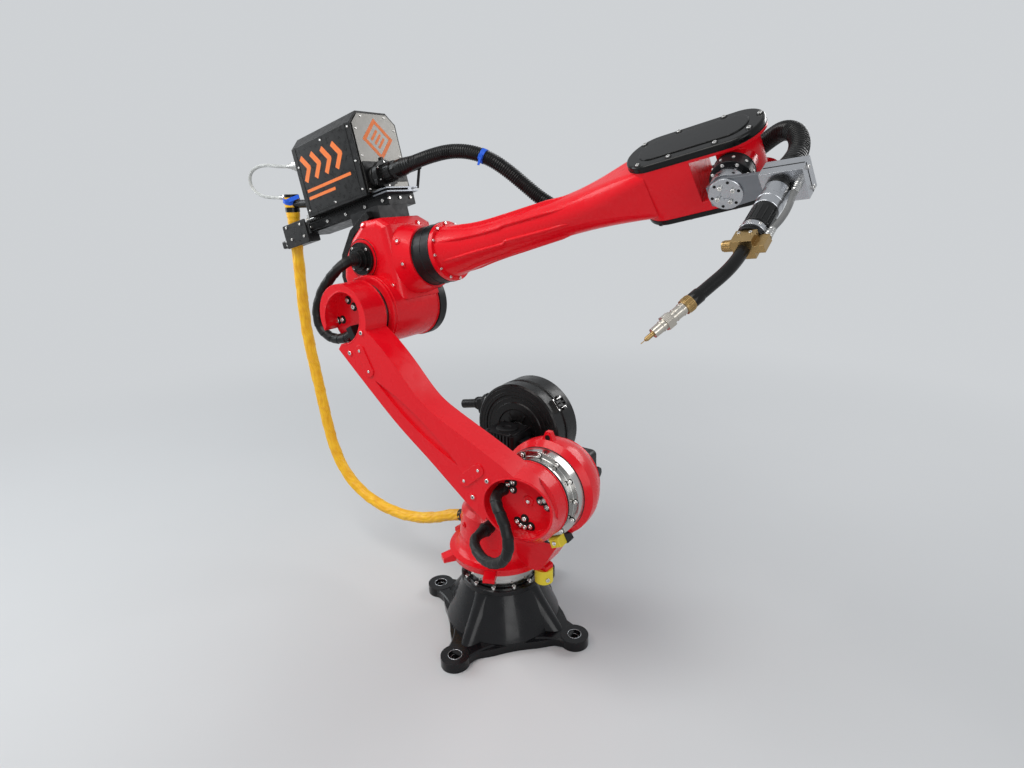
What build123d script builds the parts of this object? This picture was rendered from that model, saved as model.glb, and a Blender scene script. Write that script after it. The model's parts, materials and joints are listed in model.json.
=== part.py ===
from build123d import *
import os
from math import sin, cos, tan, radians

os.makedirs("parts", exist_ok=True)

# Six-axis welding robot. Millimetres, origin on the first axis at the floor,
# +X the way the arm reaches, +Z up.

run_gap = 0.5              # running gap at every turning face

# Base casting
foot_circle = 253.0        # radius of the anchor bolt circle
foot_turn = 2.0            # the first foot stands this many degrees round from +X
foot_r = 42.0
foot_h = 30.0
anchor_r = 11.0
anchor_sink_r = 19.0
anchor_sink = 9.0
plate_h = 24.0
plate_waist = 174.0        # half width of the base across its hollow sides
hollow_r = 420.0           # radius of the hollow sides
ridge_inset = 34.0         # the ridges start this far inside the line between the feet
ridge_top = 84.0
ridge_round = 30.0
bell_r = 176.0             # round bell between the ridges
bell_swell = 24.0          # how far in the bell is at its middle height
bell_mid = 84.0
neck_r = 112.0
neck_z = 158.0
flange_r = 126.0
flange_t = 16.0
flange_lip = 3.0
panel_w = 210.0            # connector housing behind the base
panel_in = 90.0
panel_out = 170.0
panel_h = 32.0

# First axis
j1_ring_r = 106.0
j1_ring_h = 68.0

# Turret
skirt_r = 150.0
skirt_flare = 8.0
skirt_t = 24.0
skirt_rise = 46.0          # height of the sweep from skirt to column
tab_in = 120.0
tab_out = 186.0
tab_w = 34.0
tab_tip = 14.0
tab_count = 6
tab_turn = -6.0
column_r = 124.0
column_top_r = 116.0
column_h = 160.0
column_round = 14.0
shoulder_x = 210.0
shoulder_z = 534.0
shoulder_r = 136.0
shoulder_back_r = 104.0
shoulder_front = -84.0
shoulder_back = 20.0
web_front = -68.0
web_shoulder_r = 112.0
web_foot_x = 158.0
web_foot_r = 40.0
web_heel_r = 60.0
ear_h = 22.0               # lifting ear on the shoulder
ear_w = 40.0
ear_t = 16.0
stop_r = 27.0
stop_h = 46.0
limit_in = 118.0           # plate under the second axis that carries the limit block
limit_out = 152.0
limit_from = -112.0
limit_to = -58.0
limit_t = 12.0
limit_block_w = 34.0
limit_block_h = 30.0

# Motors of the first two axes
j1_motor_size = 110.0
j1_motor_h = 204.0
j1_motor_x = -20.0
j1_motor_y = 76.0
motor_round = 14.0
fin_count = 8
fin_gap = 6.0
fin_depth = 5.0
j2_motor_size = 106.0
j2_motor_t = 92.0
plug_r = 15.0
plug_t = 24.0

# Second axis ring
j2_ring_r = 120.0
j2_ring_t = 30.0
j2_boss_r = 105.0
j2_boss_t = 26.0

# Wire drum
drum_x = -30.0
drum_z = 577.0
drum_r = 150.0
drum_front = 140.0
drum_t = 122.0
drum_step = 12.0
drum_rib = 3.0
drum_seam = 46.0
hub_r = 30.0
bracket_w = 100.0
bracket_t = 12.0
bracket_in = 90.0
bracket_rise = 40.0
bracket_drop = 40.0
latch_w = 40.0
latch_turn = 38.0

# Lower arm
arm_length = 708.0
arm_lean = 51.6            # degrees back from upright, as photographed
arm_front = -236.0
arm_low_r = 104.0
arm_high_r = 92.0
arm_belly = 106.0          # greatest depth of the arm under its centre line
arm_waist = 14.0           # least depth over its centre line
arm_root = 84.0
mouth_low = (100.0, 78.0)  # half sizes of the oval mouth of the lower cup
mouth_low_turn = 51.0
mouth_low_side = 19.0      # the mouth sits this far to the upper side
mouth_high = (66.0, 78.0)
mouth_lip = 6.0
cup_depth = 46.0
pad_l = 94.0
pad_w = 34.0
pad_t = 3.0
pads = ((142.0, 20.0, 79.0), (579.0, 43.0, 157.0))
groove_depth = 7.0
gate_w = 70.0              # cut in the upper cup's wall for the hoses
gate_angle = 232.0
plug_side = 36.0           # connector of the upper hoses, on the floor of the upper cup
plug_length = 22.0

# Elbow
elbow_r = 100.0
elbow_face = -158.0
elbow_ring_t = 18.0
elbow_end = 57.0
j3_cap_r = 104.0
j3_cap_t = 34.0
j3_cap_gap = 3.0
elbow_ring_r = 81.0
elbow_rise = 115.0         # forearm axis above the elbow axis
forearm_pitch = 13.1
body_half = 98.0
body_top = 138.0
body_bottom = -112.0
body_tail = -121.0
body_nose = 104.0
body_round = 24.0
gland_s = -8.5
gland_rise = 35.5
gland_boss_r = 56.0
gland_boss_t = 6.0
gland_steps = ((46.0, 8.0), (33.0, 9.0), (24.0, 12.0))

# Forearm
j4_start = 161.0
j4_end = 225.0
j4_r = 82.5
flange_edge = 14.0
wrist_s = 1041.0
head_length = 284.0
head_width = 124.0
head_high = 91.0           # top face of the head, above the forearm axis
head_low = -29.0
head_turn = 32.0           # roll of the head, as photographed
cover_t = 13.0
cover_round = 5.0
slot_high = 84.0
slot_low = -6.0
slot_depth = 80.0
wrist_up = 39.0            # wrist centre above the forearm axis, across the head
wrist_r = 44.0
wrist_pin_r = 24.0
wrist_bend = 93.0
wrist_gap = 5.0
wrist_nose_r = 38.0

# Tool
j6_from = 56.0
j6_ring_t = 34.0
j6_ring_r = 40.0
tool_r = 34.0
tool_t = 34.5
plate_t = 8.0
torch_r = 22.0
torch_length = 214.0
torch_out = 110.0          # torch beside the tool axis
torch_from = 84.0
torch_tilt_deg = 9.0
clamp_from = 30.0
clamp_t = 40.0
clamp_side = 60.0
clamp_ear = 16.0
block_side = 36.0
block_t = 30.0
block_ear = 36.0
knob_r = 9.0
knob_t = 22.0
neck_tube_r = 11.0
neck_tilt_deg = 33.0
neck_first = 38.0
neck_second = 94.0
neck_radius = 170.0
collar_r = 13.0
collar_t = 16.0
nozzle_r = 10.5
nozzle_length = 66.0
nozzle_tip_r = 8.5
hex_r = 14.0
hex_t = 14.0
tip_r = 4.0
tip_t = 14.0

# Working frames
lean = radians(arm_lean)
pitch = radians(forearm_pitch)
turn = radians(head_turn)
bend = radians(wrist_bend)
base_turn = foot_turn + 45
flange_top = neck_z + flange_t
skirt_z = flange_top + j1_ring_h + run_gap
column_top = skirt_z + column_h
arm_back = shoulder_front - j2_ring_t - j2_boss_t - run_gap
arm_t = arm_back - arm_front
elbow_x = shoulder_x - arm_length * sin(lean)
elbow_z = shoulder_z + arm_length * cos(lean)
along = Vector(cos(pitch), 0, sin(pitch))
rise = Vector(-sin(pitch), 0, cos(pitch))
side = Vector(0, 1, 0)
arm_dir = Vector(-sin(lean), 0, cos(lean))
roll_c = Vector(elbow_x, 0, elbow_z) + rise * elbow_rise
head_up = rise * cos(turn) - side * sin(turn)
head_side = -(side * cos(turn)) - rise * sin(turn)
wrist_c = roll_c + along * wrist_s + head_up * wrist_up
tool_dir = along * cos(bend) + head_side * sin(bend)
tool_side = along * sin(bend) - head_side * cos(bend)


def facing_front(x, y, z):
    """Sketch plane across the arm, seen from the front, with its normal along -Y."""
    return Plane(origin=(x, y, z), x_dir=(1, 0, 0), z_dir=(0, -1, 0))


def save(piece, name):
    piece.part.label = name
    export_step(piece.part, f"parts/{name}.step")


def middle(one, other):
    return (Vector(one) + Vector(other)) * 0.5


def cord(name, points, diameter, first_share=1, last_share=1):
    """A cord as straight runs and tangent arcs, each arc as large as its two runs allow.
    A cord cut at a joint, in the middle of a run, has half of that run: a share of 2 counts it whole."""
    route = [Vector(p) for p in points]
    runs = [(after - before).length for before, after in zip(route, route[1:])]
    runs[0] = runs[0] * first_share
    runs[-1] = runs[-1] * last_share
    radii = []
    for number, (before, corner, after) in enumerate(zip(route, route[1:], route[2:])):
        half_turn = radians((corner - before).get_angle(after - corner)) / 2
        radii.append(0.45 * min(runs[number], runs[number + 1]) / tan(half_turn))
    with BuildPart() as tube:
        with BuildLine():
            FilletPolyline(*route, radius=radii)
        with BuildSketch(Plane(origin=route[0], z_dir=route[1] - route[0])):
            Circle(diameter / 2)
        sweep()
    print(name, "radii", [round(r) for r in radii])
    save(tube, name)


# Base casting: four feet, hollow sides, ridges up to the neck and a round bell between them
feet = PolarLocations(foot_circle, 4, foot_turn)
foot_side = foot_circle * cos(radians(45))
ridge_foot = foot_side - ridge_inset
with BuildPart() as base_casting:
    with BuildSketch(Plane.XY.offset(plate_h)):
        with Locations(Location((0, 0, 0), (0, 0, base_turn))):
            RectangleRounded(2 * ridge_foot, 2 * ridge_foot, ridge_round)
    with BuildSketch(Plane.XY.offset(neck_z - 1)):
        with Locations(Location((0, 0, 0), (0, 0, base_turn))):
            RectangleRounded(2 * ridge_top, 2 * ridge_top, ridge_round)
    loft()
    with BuildSketch(Plane.XZ):
        with BuildLine():
            foot_line = Line((0, plate_h / 2), (bell_r, plate_h / 2))
            lip = Line(foot_line @ 1, (bell_r, plate_h + 6))
            bell = ThreePointArc(lip @ 1, (bell_r - bell_swell, bell_mid), (neck_r, neck_z))
            top = Line(bell @ 1, (0, neck_z))
            Line(top @ 1, foot_line @ 0)
        make_face()
    revolve(axis=Axis.Z)
    with BuildSketch(Plane.XY.offset(plate_h)):
        with feet:
            Circle(foot_r + 4)
    extrude(amount=neck_z, mode=Mode.SUBTRACT)
    with BuildSketch():
        with Locations(Location((0, 0, 0), (0, 0, base_turn))):
            Rectangle(2 * foot_side, 2 * foot_side)
        with PolarLocations(plate_waist + hollow_r, 4, base_turn):
            Circle(hollow_r, mode=Mode.SUBTRACT)
    extrude(amount=plate_h)
    with BuildSketch():
        with feet:
            Circle(foot_r)
    extrude(amount=foot_h)
    with BuildSketch(Plane.XY.offset(foot_h - anchor_sink)):
        with feet:
            Circle(anchor_sink_r)
    extrude(amount=anchor_sink, mode=Mode.SUBTRACT)
    with BuildSketch():
        with feet:
            Circle(anchor_r)
    extrude(amount=foot_h, mode=Mode.SUBTRACT)
save(base_casting, "base_casting")

with BuildPart() as base_flange:
    with BuildSketch(Plane.XY.offset(neck_z)):
        Circle(flange_r)
    extrude(amount=flange_t)
    chamfer(base_flange.edges().group_by(Axis.Z)[-1], flange_lip)
save(base_flange, "base_flange")

with BuildPart() as connector_box:
    with BuildSketch(Plane.XY.offset(neck_z)):
        with Locations(Location((0, 0, 0), (0, 0, base_turn + 90))):
            with Locations(((panel_in + panel_out) / 2, 0)):
                Rectangle(panel_out - panel_in, panel_w)
        Circle(flange_r, mode=Mode.SUBTRACT)
    extrude(amount=panel_h)
save(connector_box, "connector_box")

with BuildPart() as j1_ring:
    with BuildSketch(Plane.XY.offset(flange_top)):
        Circle(j1_ring_r)
    extrude(amount=j1_ring_h)
save(j1_ring, "j1_bearing_ring")

# Turret: round column swept out into a skirt with tabs, and a web up to the shoulder dish
with BuildPart() as turret:
    with BuildSketch(Plane.XZ):
        with BuildLine():
            under = Line((0, skirt_z), (skirt_r, skirt_z))
            rim = Line(under @ 1, (skirt_r + skirt_flare, skirt_z + skirt_t))
            ledge = Line(rim @ 1, (skirt_r - skirt_flare, skirt_z + skirt_t + 4))
            sweep_in = ThreePointArc(ledge @ 1, (column_r + 5, skirt_z + skirt_t + 18),
                                     (column_r, skirt_z + skirt_t + skirt_rise))
            wall = Line(sweep_in @ 1, (column_top_r, column_top - column_round))
            crown = Line(wall @ 1, (column_top_r - column_round, column_top))
            lid = Line(crown @ 1, (0, column_top))
            Line(lid @ 1, under @ 0)
        make_face()
    revolve(axis=Axis.Z)
    for number in range(tab_count):
        angle = radians(tab_turn + 360 / tab_count * number)
        tab_plane = Plane(origin=(0, 0, 0), x_dir=(cos(angle), sin(angle), 0), z_dir=(sin(angle), -cos(angle), 0))
        with BuildSketch(tab_plane.offset(-tab_w / 2)):
            Polygon((tab_in, skirt_z), (tab_out, skirt_z), (tab_out, skirt_z + tab_tip),
                    (skirt_r, skirt_z + skirt_t), (tab_in, skirt_z + skirt_t), align=None)
        extrude(amount=tab_w)
    with BuildSketch(facing_front(0, web_front, 0)):
        with Locations((shoulder_x, shoulder_z)):
            Circle(web_shoulder_r)
        with Locations((web_foot_x, skirt_z + skirt_t + web_foot_r - 6)):
            Circle(web_foot_r)
        with Locations((0, skirt_z + skirt_t + 70)):
            Circle(web_heel_r)
        make_hull()
    extrude(amount=-(shoulder_back - web_front))
    with BuildSketch(Plane(origin=(shoulder_x, 0, shoulder_z), x_dir=(1, 0, 0), z_dir=(0, 0, 1))):
        with BuildLine():
            face = Line((0, shoulder_front), (j2_ring_r, shoulder_front))
            edge = Line(face @ 1, (shoulder_r, shoulder_front + 16))
            land = Line(edge @ 1, (shoulder_r, shoulder_front + 34))
            dome = ThreePointArc(land @ 1, (shoulder_r - 10, shoulder_back - 30), (shoulder_back_r, shoulder_back))
            back = Line(dome @ 1, (0, shoulder_back))
            Line(back @ 1, face @ 0)
        make_face()
    revolve(axis=Axis((shoulder_x, 0, shoulder_z), (0, 1, 0)))
    with BuildSketch(facing_front(shoulder_x, shoulder_front + 18, shoulder_z)):
        Polygon((-ear_w / 2, shoulder_r - 8), (ear_w / 2, shoulder_r - 8), (7, shoulder_r + ear_h),
                (-7, shoulder_r + ear_h), align=None)
    extrude(amount=-ear_t)
save(turret, "turret_casting")

with BuildPart() as stop_block:
    with BuildSketch(Plane.XY.offset(skirt_z - stop_h)):
        with PolarLocations(tab_out - stop_r + 6, 1, tab_turn):
            Circle(stop_r)
    extrude(amount=stop_h)
    chamfer(stop_block.edges().group_by(Axis.Z)[0], 3)
save(stop_block, "stop_block")

with BuildPart() as limit_plate:
    with BuildSketch(facing_front(shoulder_x, shoulder_front + 18, shoulder_z)):
        with BuildLine():
            outer = CenterArc((0, 0), limit_out, limit_from, limit_to - limit_from)
            end = Line(outer @ 1, (limit_in * cos(radians(limit_to)), limit_in * sin(radians(limit_to))))
            inner = CenterArc((0, 0), limit_in, limit_to, limit_from - limit_to)
            Line(inner @ 1, outer @ 0)
        make_face()
        Circle(j2_ring_r + run_gap, mode=Mode.SUBTRACT)
    extrude(amount=18 + limit_t)
    add(turret.part, mode=Mode.SUBTRACT)
save(limit_plate, "limit_plate")

with BuildPart() as limit_block:
    with BuildSketch(facing_front(shoulder_x, shoulder_front - limit_t, shoulder_z)):
        with PolarLocations((limit_in + limit_out) / 2, 1, limit_to - 8):
            Rectangle(limit_out - limit_in - 6, limit_block_w)
    extrude(amount=limit_block_h)
    chamfer(limit_block.edges().group_by(Axis.Y)[0], 4)
save(limit_block, "limit_block")

with BuildPart() as j1_motor:
    with BuildSketch(Plane.XY.offset(column_top)):
        with Locations((j1_motor_x, j1_motor_y)):
            RectangleRounded(j1_motor_size, j1_motor_size, motor_round)
    extrude(amount=j1_motor_h)
    with BuildSketch(Plane.XY.offset(column_top + j1_motor_h / 2)):
        for edge_y in (-j1_motor_size / 2, j1_motor_size / 2):
            with Locations((j1_motor_x, j1_motor_y + edge_y)):
                with GridLocations(2 * fin_gap, 0, fin_count, 1):
                    Rectangle(fin_gap, 2 * fin_depth)
    extrude(amount=j1_motor_h, mode=Mode.SUBTRACT)
save(j1_motor, "j1_motor")

plug_plane = Plane(origin=(shoulder_x + j2_motor_size / 2, shoulder_back + j2_motor_t / 2, shoulder_z),
                   x_dir=(0, 1, 0), z_dir=(1, 0, 0))
with BuildPart() as j2_motor:
    with BuildSketch(facing_front(shoulder_x, shoulder_back, shoulder_z)):
        RectangleRounded(j2_motor_size, j2_motor_size, motor_round)
    extrude(amount=-j2_motor_t)
    with BuildSketch(facing_front(shoulder_x, shoulder_back + j2_motor_t, shoulder_z)):
        Circle(j2_motor_size / 2 - 5)
    extrude(amount=-12)
    with BuildSketch(plug_plane):
        with GridLocations(2.4 * plug_r, 0, 2, 1):
            Circle(plug_r)
    extrude(amount=plug_t)
save(j2_motor, "j2_motor")

with BuildPart() as j2_ring:
    with BuildSketch(facing_front(0, shoulder_front, 0)):
        with Locations((shoulder_x, shoulder_z)):
            Circle(j2_ring_r)
    extrude(amount=j2_ring_t)
    with BuildSketch(facing_front(0, shoulder_front - j2_ring_t, 0)):
        with Locations((shoulder_x, shoulder_z)):
            Circle(j2_boss_r)
    extrude(amount=j2_boss_t)
save(j2_ring, "j2_bearing_ring")

drum_back = drum_front + drum_t
bracket_z = column_top - bracket_drop
with BuildPart() as drum_bracket:
    with BuildSketch(Plane(origin=(drum_x - bracket_w / 2, 0, 0), x_dir=(0, 1, 0), z_dir=(1, 0, 0))):
        Polygon((bracket_in, bracket_z), (drum_back + bracket_t, bracket_z),
                (drum_back + bracket_t, drum_z + bracket_rise), (drum_back, drum_z + bracket_rise),
                (drum_back, bracket_z + bracket_t), (bracket_in, bracket_z + bracket_t), align=None)
    extrude(amount=bracket_w)
    add(turret.part, mode=Mode.SUBTRACT)
save(drum_bracket, "drum_bracket")

# Drum: front cover with concentric ribs and a seam in its side
with BuildPart() as wire_drum:
    with BuildSketch(Plane(origin=(drum_x, drum_front, drum_z), x_dir=(1, 0, 0), z_dir=(0, 0, 1))):
        Polygon((0, drum_step), (hub_r, drum_step), (hub_r + 4, drum_rib), (0.45 * drum_r, drum_rib),
                (0.47 * drum_r, 0), (0.6 * drum_r, 0), (0.62 * drum_r, drum_rib), (0.76 * drum_r, drum_rib),
                (0.78 * drum_r, 0), (drum_r - 5, 0), (drum_r, 5), (drum_r, drum_seam - 3),
                (drum_r - 5, drum_seam), (drum_r - 5, drum_seam + 6), (drum_r, drum_seam + 9),
                (drum_r, drum_t - 6), (drum_r - 6, drum_t), (0, drum_t), align=None)
    revolve(axis=Axis((drum_x, 0, drum_z), (0, 1, 0)))
save(wire_drum, "wire_drum")

with BuildPart() as drum_latch:
    with BuildSketch(facing_front(drum_x, drum_front + drum_seam - 18, drum_z)):
        with PolarLocations(drum_r + 5, 3, latch_turn):
            Rectangle(12, latch_w)
        Circle(drum_r, mode=Mode.SUBTRACT)
    extrude(amount=-44)
save(drum_latch, "drum_latches")

# Lower arm: two drums, a tapering beam between them and a cup with an oval mouth in each drum.
# Across the arm, positive values lie on its underside.
arm_plane = Plane(origin=(shoulder_x, arm_back, shoulder_z), x_dir=arm_dir, z_dir=(0, -1, 0))
arm_top_back = elbow_face - run_gap
low_mouth = Location((0, -mouth_low_side, 0), (0, 0, mouth_low_turn))
high_mouth = Location((arm_length, mouth_lip - 2, 0))
with BuildPart() as lower_arm:
    with BuildSketch(arm_plane):
        Circle(arm_low_r)
    extrude(amount=arm_t / 2)
    with BuildSketch(arm_plane.offset(arm_t / 2)):
        with Locations(Location((0, 0, 0), (0, 0, mouth_low_turn))):
            Circle(arm_low_r)
    with BuildSketch(arm_plane.offset(arm_t)):
        with Locations(low_mouth):
            Ellipse(mouth_low[0] + mouth_lip, mouth_low[1] + mouth_lip)
    loft()
    with BuildSketch(arm_plane.offset(arm_back - arm_top_back)):
        with Locations((arm_length, 0)):
            Circle(arm_high_r)
    extrude(amount=arm_top_back - arm_front)
    with BuildSketch(arm_plane.offset(arm_back - arm_top_back)):
        with BuildLine():
            low = Line((40, arm_low_r - 10), (40, -arm_root))
            over = Spline(low @ 1, (157, -61), (295, -26), (arm_length / 2 + 6, -arm_waist), (467, -25),
                          (561, -34), (arm_length - 60, -30))
            cheek = Line(over @ 1, (arm_length, -30))
            high = Line(cheek @ 1, (arm_length, arm_high_r - 4))
            under = Spline(high @ 1, (608, 95), (497, arm_belly - 4), (383, arm_belly), (257, arm_belly - 5),
                           (116, arm_belly - 7), low @ 0)
        make_face()
    extrude(amount=arm_top_back - arm_front)
    with BuildSketch(arm_plane.offset(arm_t)):
        with Locations(low_mouth):
            Ellipse(*mouth_low)
        with Locations(high_mouth):
            Ellipse(*mouth_high)
        with Locations(Location((arm_length, 0, 0), (0, 0, gate_angle - 90 - arm_lean))):
            with Locations((arm_high_r / 2 + 20, 0)):
                Rectangle(arm_high_r + 40, gate_w)
    extrude(amount=-cup_depth, mode=Mode.SUBTRACT)
    with BuildSketch(arm_plane.offset(arm_t)):
        for middle_a, middle_b, pad_turn in pads:
            with Locations((middle_a, middle_b)):
                SlotOverall(pad_l, pad_w, rotation=pad_turn)
    extrude(amount=pad_t)
    with BuildSketch(arm_plane.offset(arm_t)):
        with BuildLine():
            one = ThreePointArc((186, 34), (360, 32), (520, 62))
            ThreePointArc(one @ 1, (360, 66), one @ 0)
        make_face()
    extrude(amount=-groove_depth, mode=Mode.SUBTRACT)
save(lower_arm, "lower_arm_casting")

with BuildPart() as elbow_ring:
    with BuildSketch(facing_front(0, elbow_face, 0)):
        with Locations((elbow_x, elbow_z)):
            Circle(elbow_ring_r)
    extrude(amount=-elbow_ring_t)
save(elbow_ring, "j3_bearing_ring")

# Elbow: cross barrel on the third axis and the body that carries the forearm
cross = Plane(origin=roll_c, x_dir=(0, 1, 0), z_dir=along)
flank = Plane(origin=roll_c, x_dir=along, z_dir=(0, -1, 0))
with BuildPart() as elbow:
    with BuildSketch(flank.offset(body_half)):
        Polygon((body_tail + 3, body_bottom + 52), (body_tail + 40, body_bottom), (40, body_bottom),
                (body_nose, body_bottom + 8), (body_nose, body_top - 30), (70, body_top - 5), (12, body_top),
                (-48, 102), (body_tail + 20, 50), (body_tail, 0), align=None)
    extrude(amount=-2 * body_half)
    fillet(elbow.faces().sort_by(Axis.Y)[0].edges() + elbow.faces().sort_by(Axis.Y)[-1].edges(), body_round)
    with BuildSketch(cross.offset(40)):
        with Locations((0, (body_top + body_bottom) / 2 - 4)):
            RectangleRounded(2 * body_half - 6, body_top - body_bottom - 22, 60)
    with BuildSketch(cross.offset(j4_start)):
        Circle(j4_r + 6)
    loft()
    with BuildSketch(facing_front(0, elbow_face + elbow_ring_t, 0)):
        with Locations((elbow_x, elbow_z)):
            Circle(elbow_r)
    extrude(amount=-(elbow_end - elbow_face - elbow_ring_t))
    with BuildSketch(flank.offset(body_half - 10)):
        with Locations((gland_s, gland_rise)):
            Circle(gland_boss_r)
    extrude(amount=10 + gland_boss_t)
    with BuildSketch(facing_front(0, elbow_end, 0)):
        with Locations((elbow_x, elbow_z)):
            Circle(j3_cap_r + j3_cap_gap)
    extrude(amount=-100, mode=Mode.SUBTRACT)
save(elbow, "elbow_housing")

with BuildPart() as j3_motor:
    with BuildSketch(facing_front(0, elbow_end, 0)):
        with Locations((elbow_x, elbow_z)):
            Circle(j3_cap_r)
    extrude(amount=-j3_cap_t)
    fillet(j3_motor.faces().sort_by(Axis.Y)[-1].edges(), 8)
save(j3_motor, "j3_motor_cap")

gland_front = body_half + gland_boss_t
with BuildPart() as gland:
    for radius, depth in gland_steps:
        with BuildSketch(flank.offset(gland_front)):
            with Locations((gland_s, gland_rise)):
                Circle(radius)
        extrude(amount=depth)
        gland_front = gland_front + depth
save(gland, "elbow_gland")

with BuildPart() as j4_ring:
    with BuildSketch(cross.offset(j4_start)):
        Circle(j4_r)
    extrude(amount=j4_end - j4_start)
save(j4_ring, "j4_bearing_ring")

# Wire feeder on its rail above the elbow
feeder_pitch = radians(13.5)
feed_along = Vector(cos(feeder_pitch), 0, sin(feeder_pitch))
feed_up = Vector(-sin(feeder_pitch), 0, cos(feeder_pitch))
feeder_length = 280.0
feeder_width = 184.0
feeder_height = 239.0
feeder_cut = 32.0
panel_t = 3.0
panel_edge = 7.0
rail_w = 110.0
rail_h = 40.0
rail_front = 40.0
rail_length = 420.0
saddle_size = 120.0
saddle_drop = 100.0
feeder_corner = roll_c + along * 16 + rise * 210 - side * 48
feeder_front = Plane(origin=feeder_corner, x_dir=(0, 1, 0), z_dir=feed_along)


def feeder_outline(inset):
    """Points of the feeder's front, with its two upper corners cut."""
    cut = feeder_cut - 0.6 * inset
    wide = feeder_width - inset
    high = feeder_height - inset
    return ((inset, inset), (wide, inset), (wide, high - cut), (wide - cut, high),
            (inset + cut, high), (inset, high - cut))


with BuildPart() as feeder:
    with BuildSketch(feeder_front.offset(-panel_t)):
        Polygon(*feeder_outline(0), align=None)
    extrude(amount=-(feeder_length - panel_t))
save(feeder, "feeder_box")

with BuildPart() as front_panel:
    with BuildSketch(feeder_front.offset(-panel_t)):
        Polygon(*feeder_outline(panel_edge), align=None)
    extrude(amount=panel_t)
save(front_panel, "feeder_front_panel")

outlet_y = 48.0
outlet_up = 48.0
outlet_steps = ((30.0, 30.0), (40.0, 16.0), (27.0, 34.0), (24.0, 40.0))
outlet_from = 0.0
with BuildPart() as outlet:
    for radius, depth in outlet_steps:
        with BuildSketch(feeder_front.offset(outlet_from)):
            with Locations((outlet_y, outlet_up)):
                Circle(radius)
        extrude(amount=depth)
        outlet_from = outlet_from + depth
save(outlet, "feeder_outlet")

with BuildPart() as feeder_rail:
    with BuildSketch(feeder_front.offset(rail_front)):
        with Locations((feeder_width / 2, -rail_h / 2)):
            Rectangle(rail_w, rail_h)
    extrude(amount=-rail_length)
save(feeder_rail, "feeder_rail")

with BuildPart() as rail_plates:
    with BuildSketch(feeder_front.offset(rail_front + 22)):
        with Locations((feeder_width / 2 - 10, 5), (feeder_width / 2 - 10, -5)):
            Rectangle(rail_w + 20, 4)
        with Locations((feeder_width / 2 + 20, 0)):
            Rectangle(14, 14)
    extrude(amount=-60)
    add(feeder_rail.part, mode=Mode.SUBTRACT)
    add(outlet.part, mode=Mode.SUBTRACT)
save(rail_plates, "rail_plates")

with BuildPart() as saddle:
    with BuildSketch(feeder_front.offset(rail_front)):
        with Locations((feeder_width / 2 - 44, -rail_h - saddle_drop / 2)):
            Rectangle(saddle_size, saddle_drop)
    extrude(amount=-saddle_size)
    add(elbow.part, mode=Mode.SUBTRACT)
save(saddle, "feeder_saddle")

# Behind the feeder: clamp plate round the yellow cable, its socket and a hose connector
cable_d = 38.0
cable_x = -803.0
cable_y = -10.0
cable_top = 1244.0
socket_r = 23.0
socket_h = 56.0
socket_side = 35.0
hose_z = 1290.0
with BuildPart() as rear_clamp:
    with BuildSketch(feeder_front.offset(-340)):
        with Locations((38, -rail_h - 12)):
            RectangleRounded(66, 24, 5)
    extrude(amount=-115)
    with BuildSketch(Plane.XY.offset(cable_top - 200)):
        with Locations((cable_x, cable_y)):
            Circle(cable_d / 2 + 1.5)
    extrude(amount=200, mode=Mode.SUBTRACT)
save(rear_clamp, "rear_clamp")

with BuildPart() as cable_socket:
    with BuildSketch(Plane.XY.offset(cable_top)):
        with Locations((cable_x, cable_y)):
            Circle(socket_r)
    extrude(amount=socket_h)
    with BuildSketch(Plane(origin=(cable_x, cable_y, cable_top + 26), z_dir=(1, 0, 0))):
        Circle(13)
    extrude(amount=150)
    with BuildSketch(Plane(origin=(cable_x - socket_side, cable_y, hose_z), z_dir=(1, 0, 0))):
        Circle(9)
    extrude(amount=socket_side)
    add(feeder.part, mode=Mode.SUBTRACT)
save(cable_socket, "cable_socket")

hose_start = Vector(-776, -10, 1386)
with BuildPart() as rear_connector:
    with BuildSketch(Plane(origin=hose_start, z_dir=(1, 0, 0))):
        Circle(10)
    extrude(amount=90)
    with BuildSketch(Plane(origin=hose_start + Vector(20, 0, 0), z_dir=(1, 0, 0))):
        Circle(17)
    extrude(amount=70)
    add(feeder.part, mode=Mode.SUBTRACT)
save(rear_connector, "rear_connector")

# Forearm: flange, tapering tube, neck and the wide flat head, in which the wrist turns
head = Plane(origin=(roll_c + along * (wrist_s - (head_length - head_width) / 2)),
             x_dir=along, z_dir=head_up)
head_cross = Plane(origin=roll_c, x_dir=head_side, z_dir=along)
fork_plane = Plane(origin=roll_c + along * wrist_s, x_dir=along, z_dir=head_up)
flange_from = j4_end + run_gap
tube_from = flange_from + flange_edge
tube_end = wrist_s - head_length + head_width / 2 + 43
head_mid = (head_high + head_low) / 2
# Sections: distance along the axis, half width, half height, centre towards the head's top, roundness
tube_sections = ((tube_from, 72, 72, 0, 0.97), (306, 60, 60, -2, 0.97), (394, 51, 51, 0, 0.95),
                 (500, 48, 48, 5, 0.93), (626, 46, 46, 11, 0.9), (706, 48, 49, 17, 0.8), (778, 55, 54, 25, 0.6),
                 (tube_end, head_width / 2 - 1, (head_high - head_low) / 2 - 1, head_mid, 0.35))
with BuildPart() as forearm:
    for distance, half_wide, half_high, up, roundness in tube_sections:
        with BuildSketch(head_cross.offset(distance)):
            with Locations((0, -up)):
                RectangleRounded(2 * half_wide, 2 * half_high, roundness * min(half_wide, half_high))
    loft()
    with BuildSketch(cross.offset(flange_from)):
        Circle(j4_r)
    extrude(amount=flange_edge)
    with BuildSketch(head.offset(head_low)):
        SlotOverall(head_length, head_width)
    extrude(amount=head_high - head_low)
    with BuildSketch(fork_plane.offset(slot_low)):
        with Locations((head_width - slot_depth, 0)):
            Rectangle(2 * head_width, 2 * head_width)
    extrude(amount=slot_high - slot_low, mode=Mode.SUBTRACT)
save(forearm, "forearm_casting")

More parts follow.
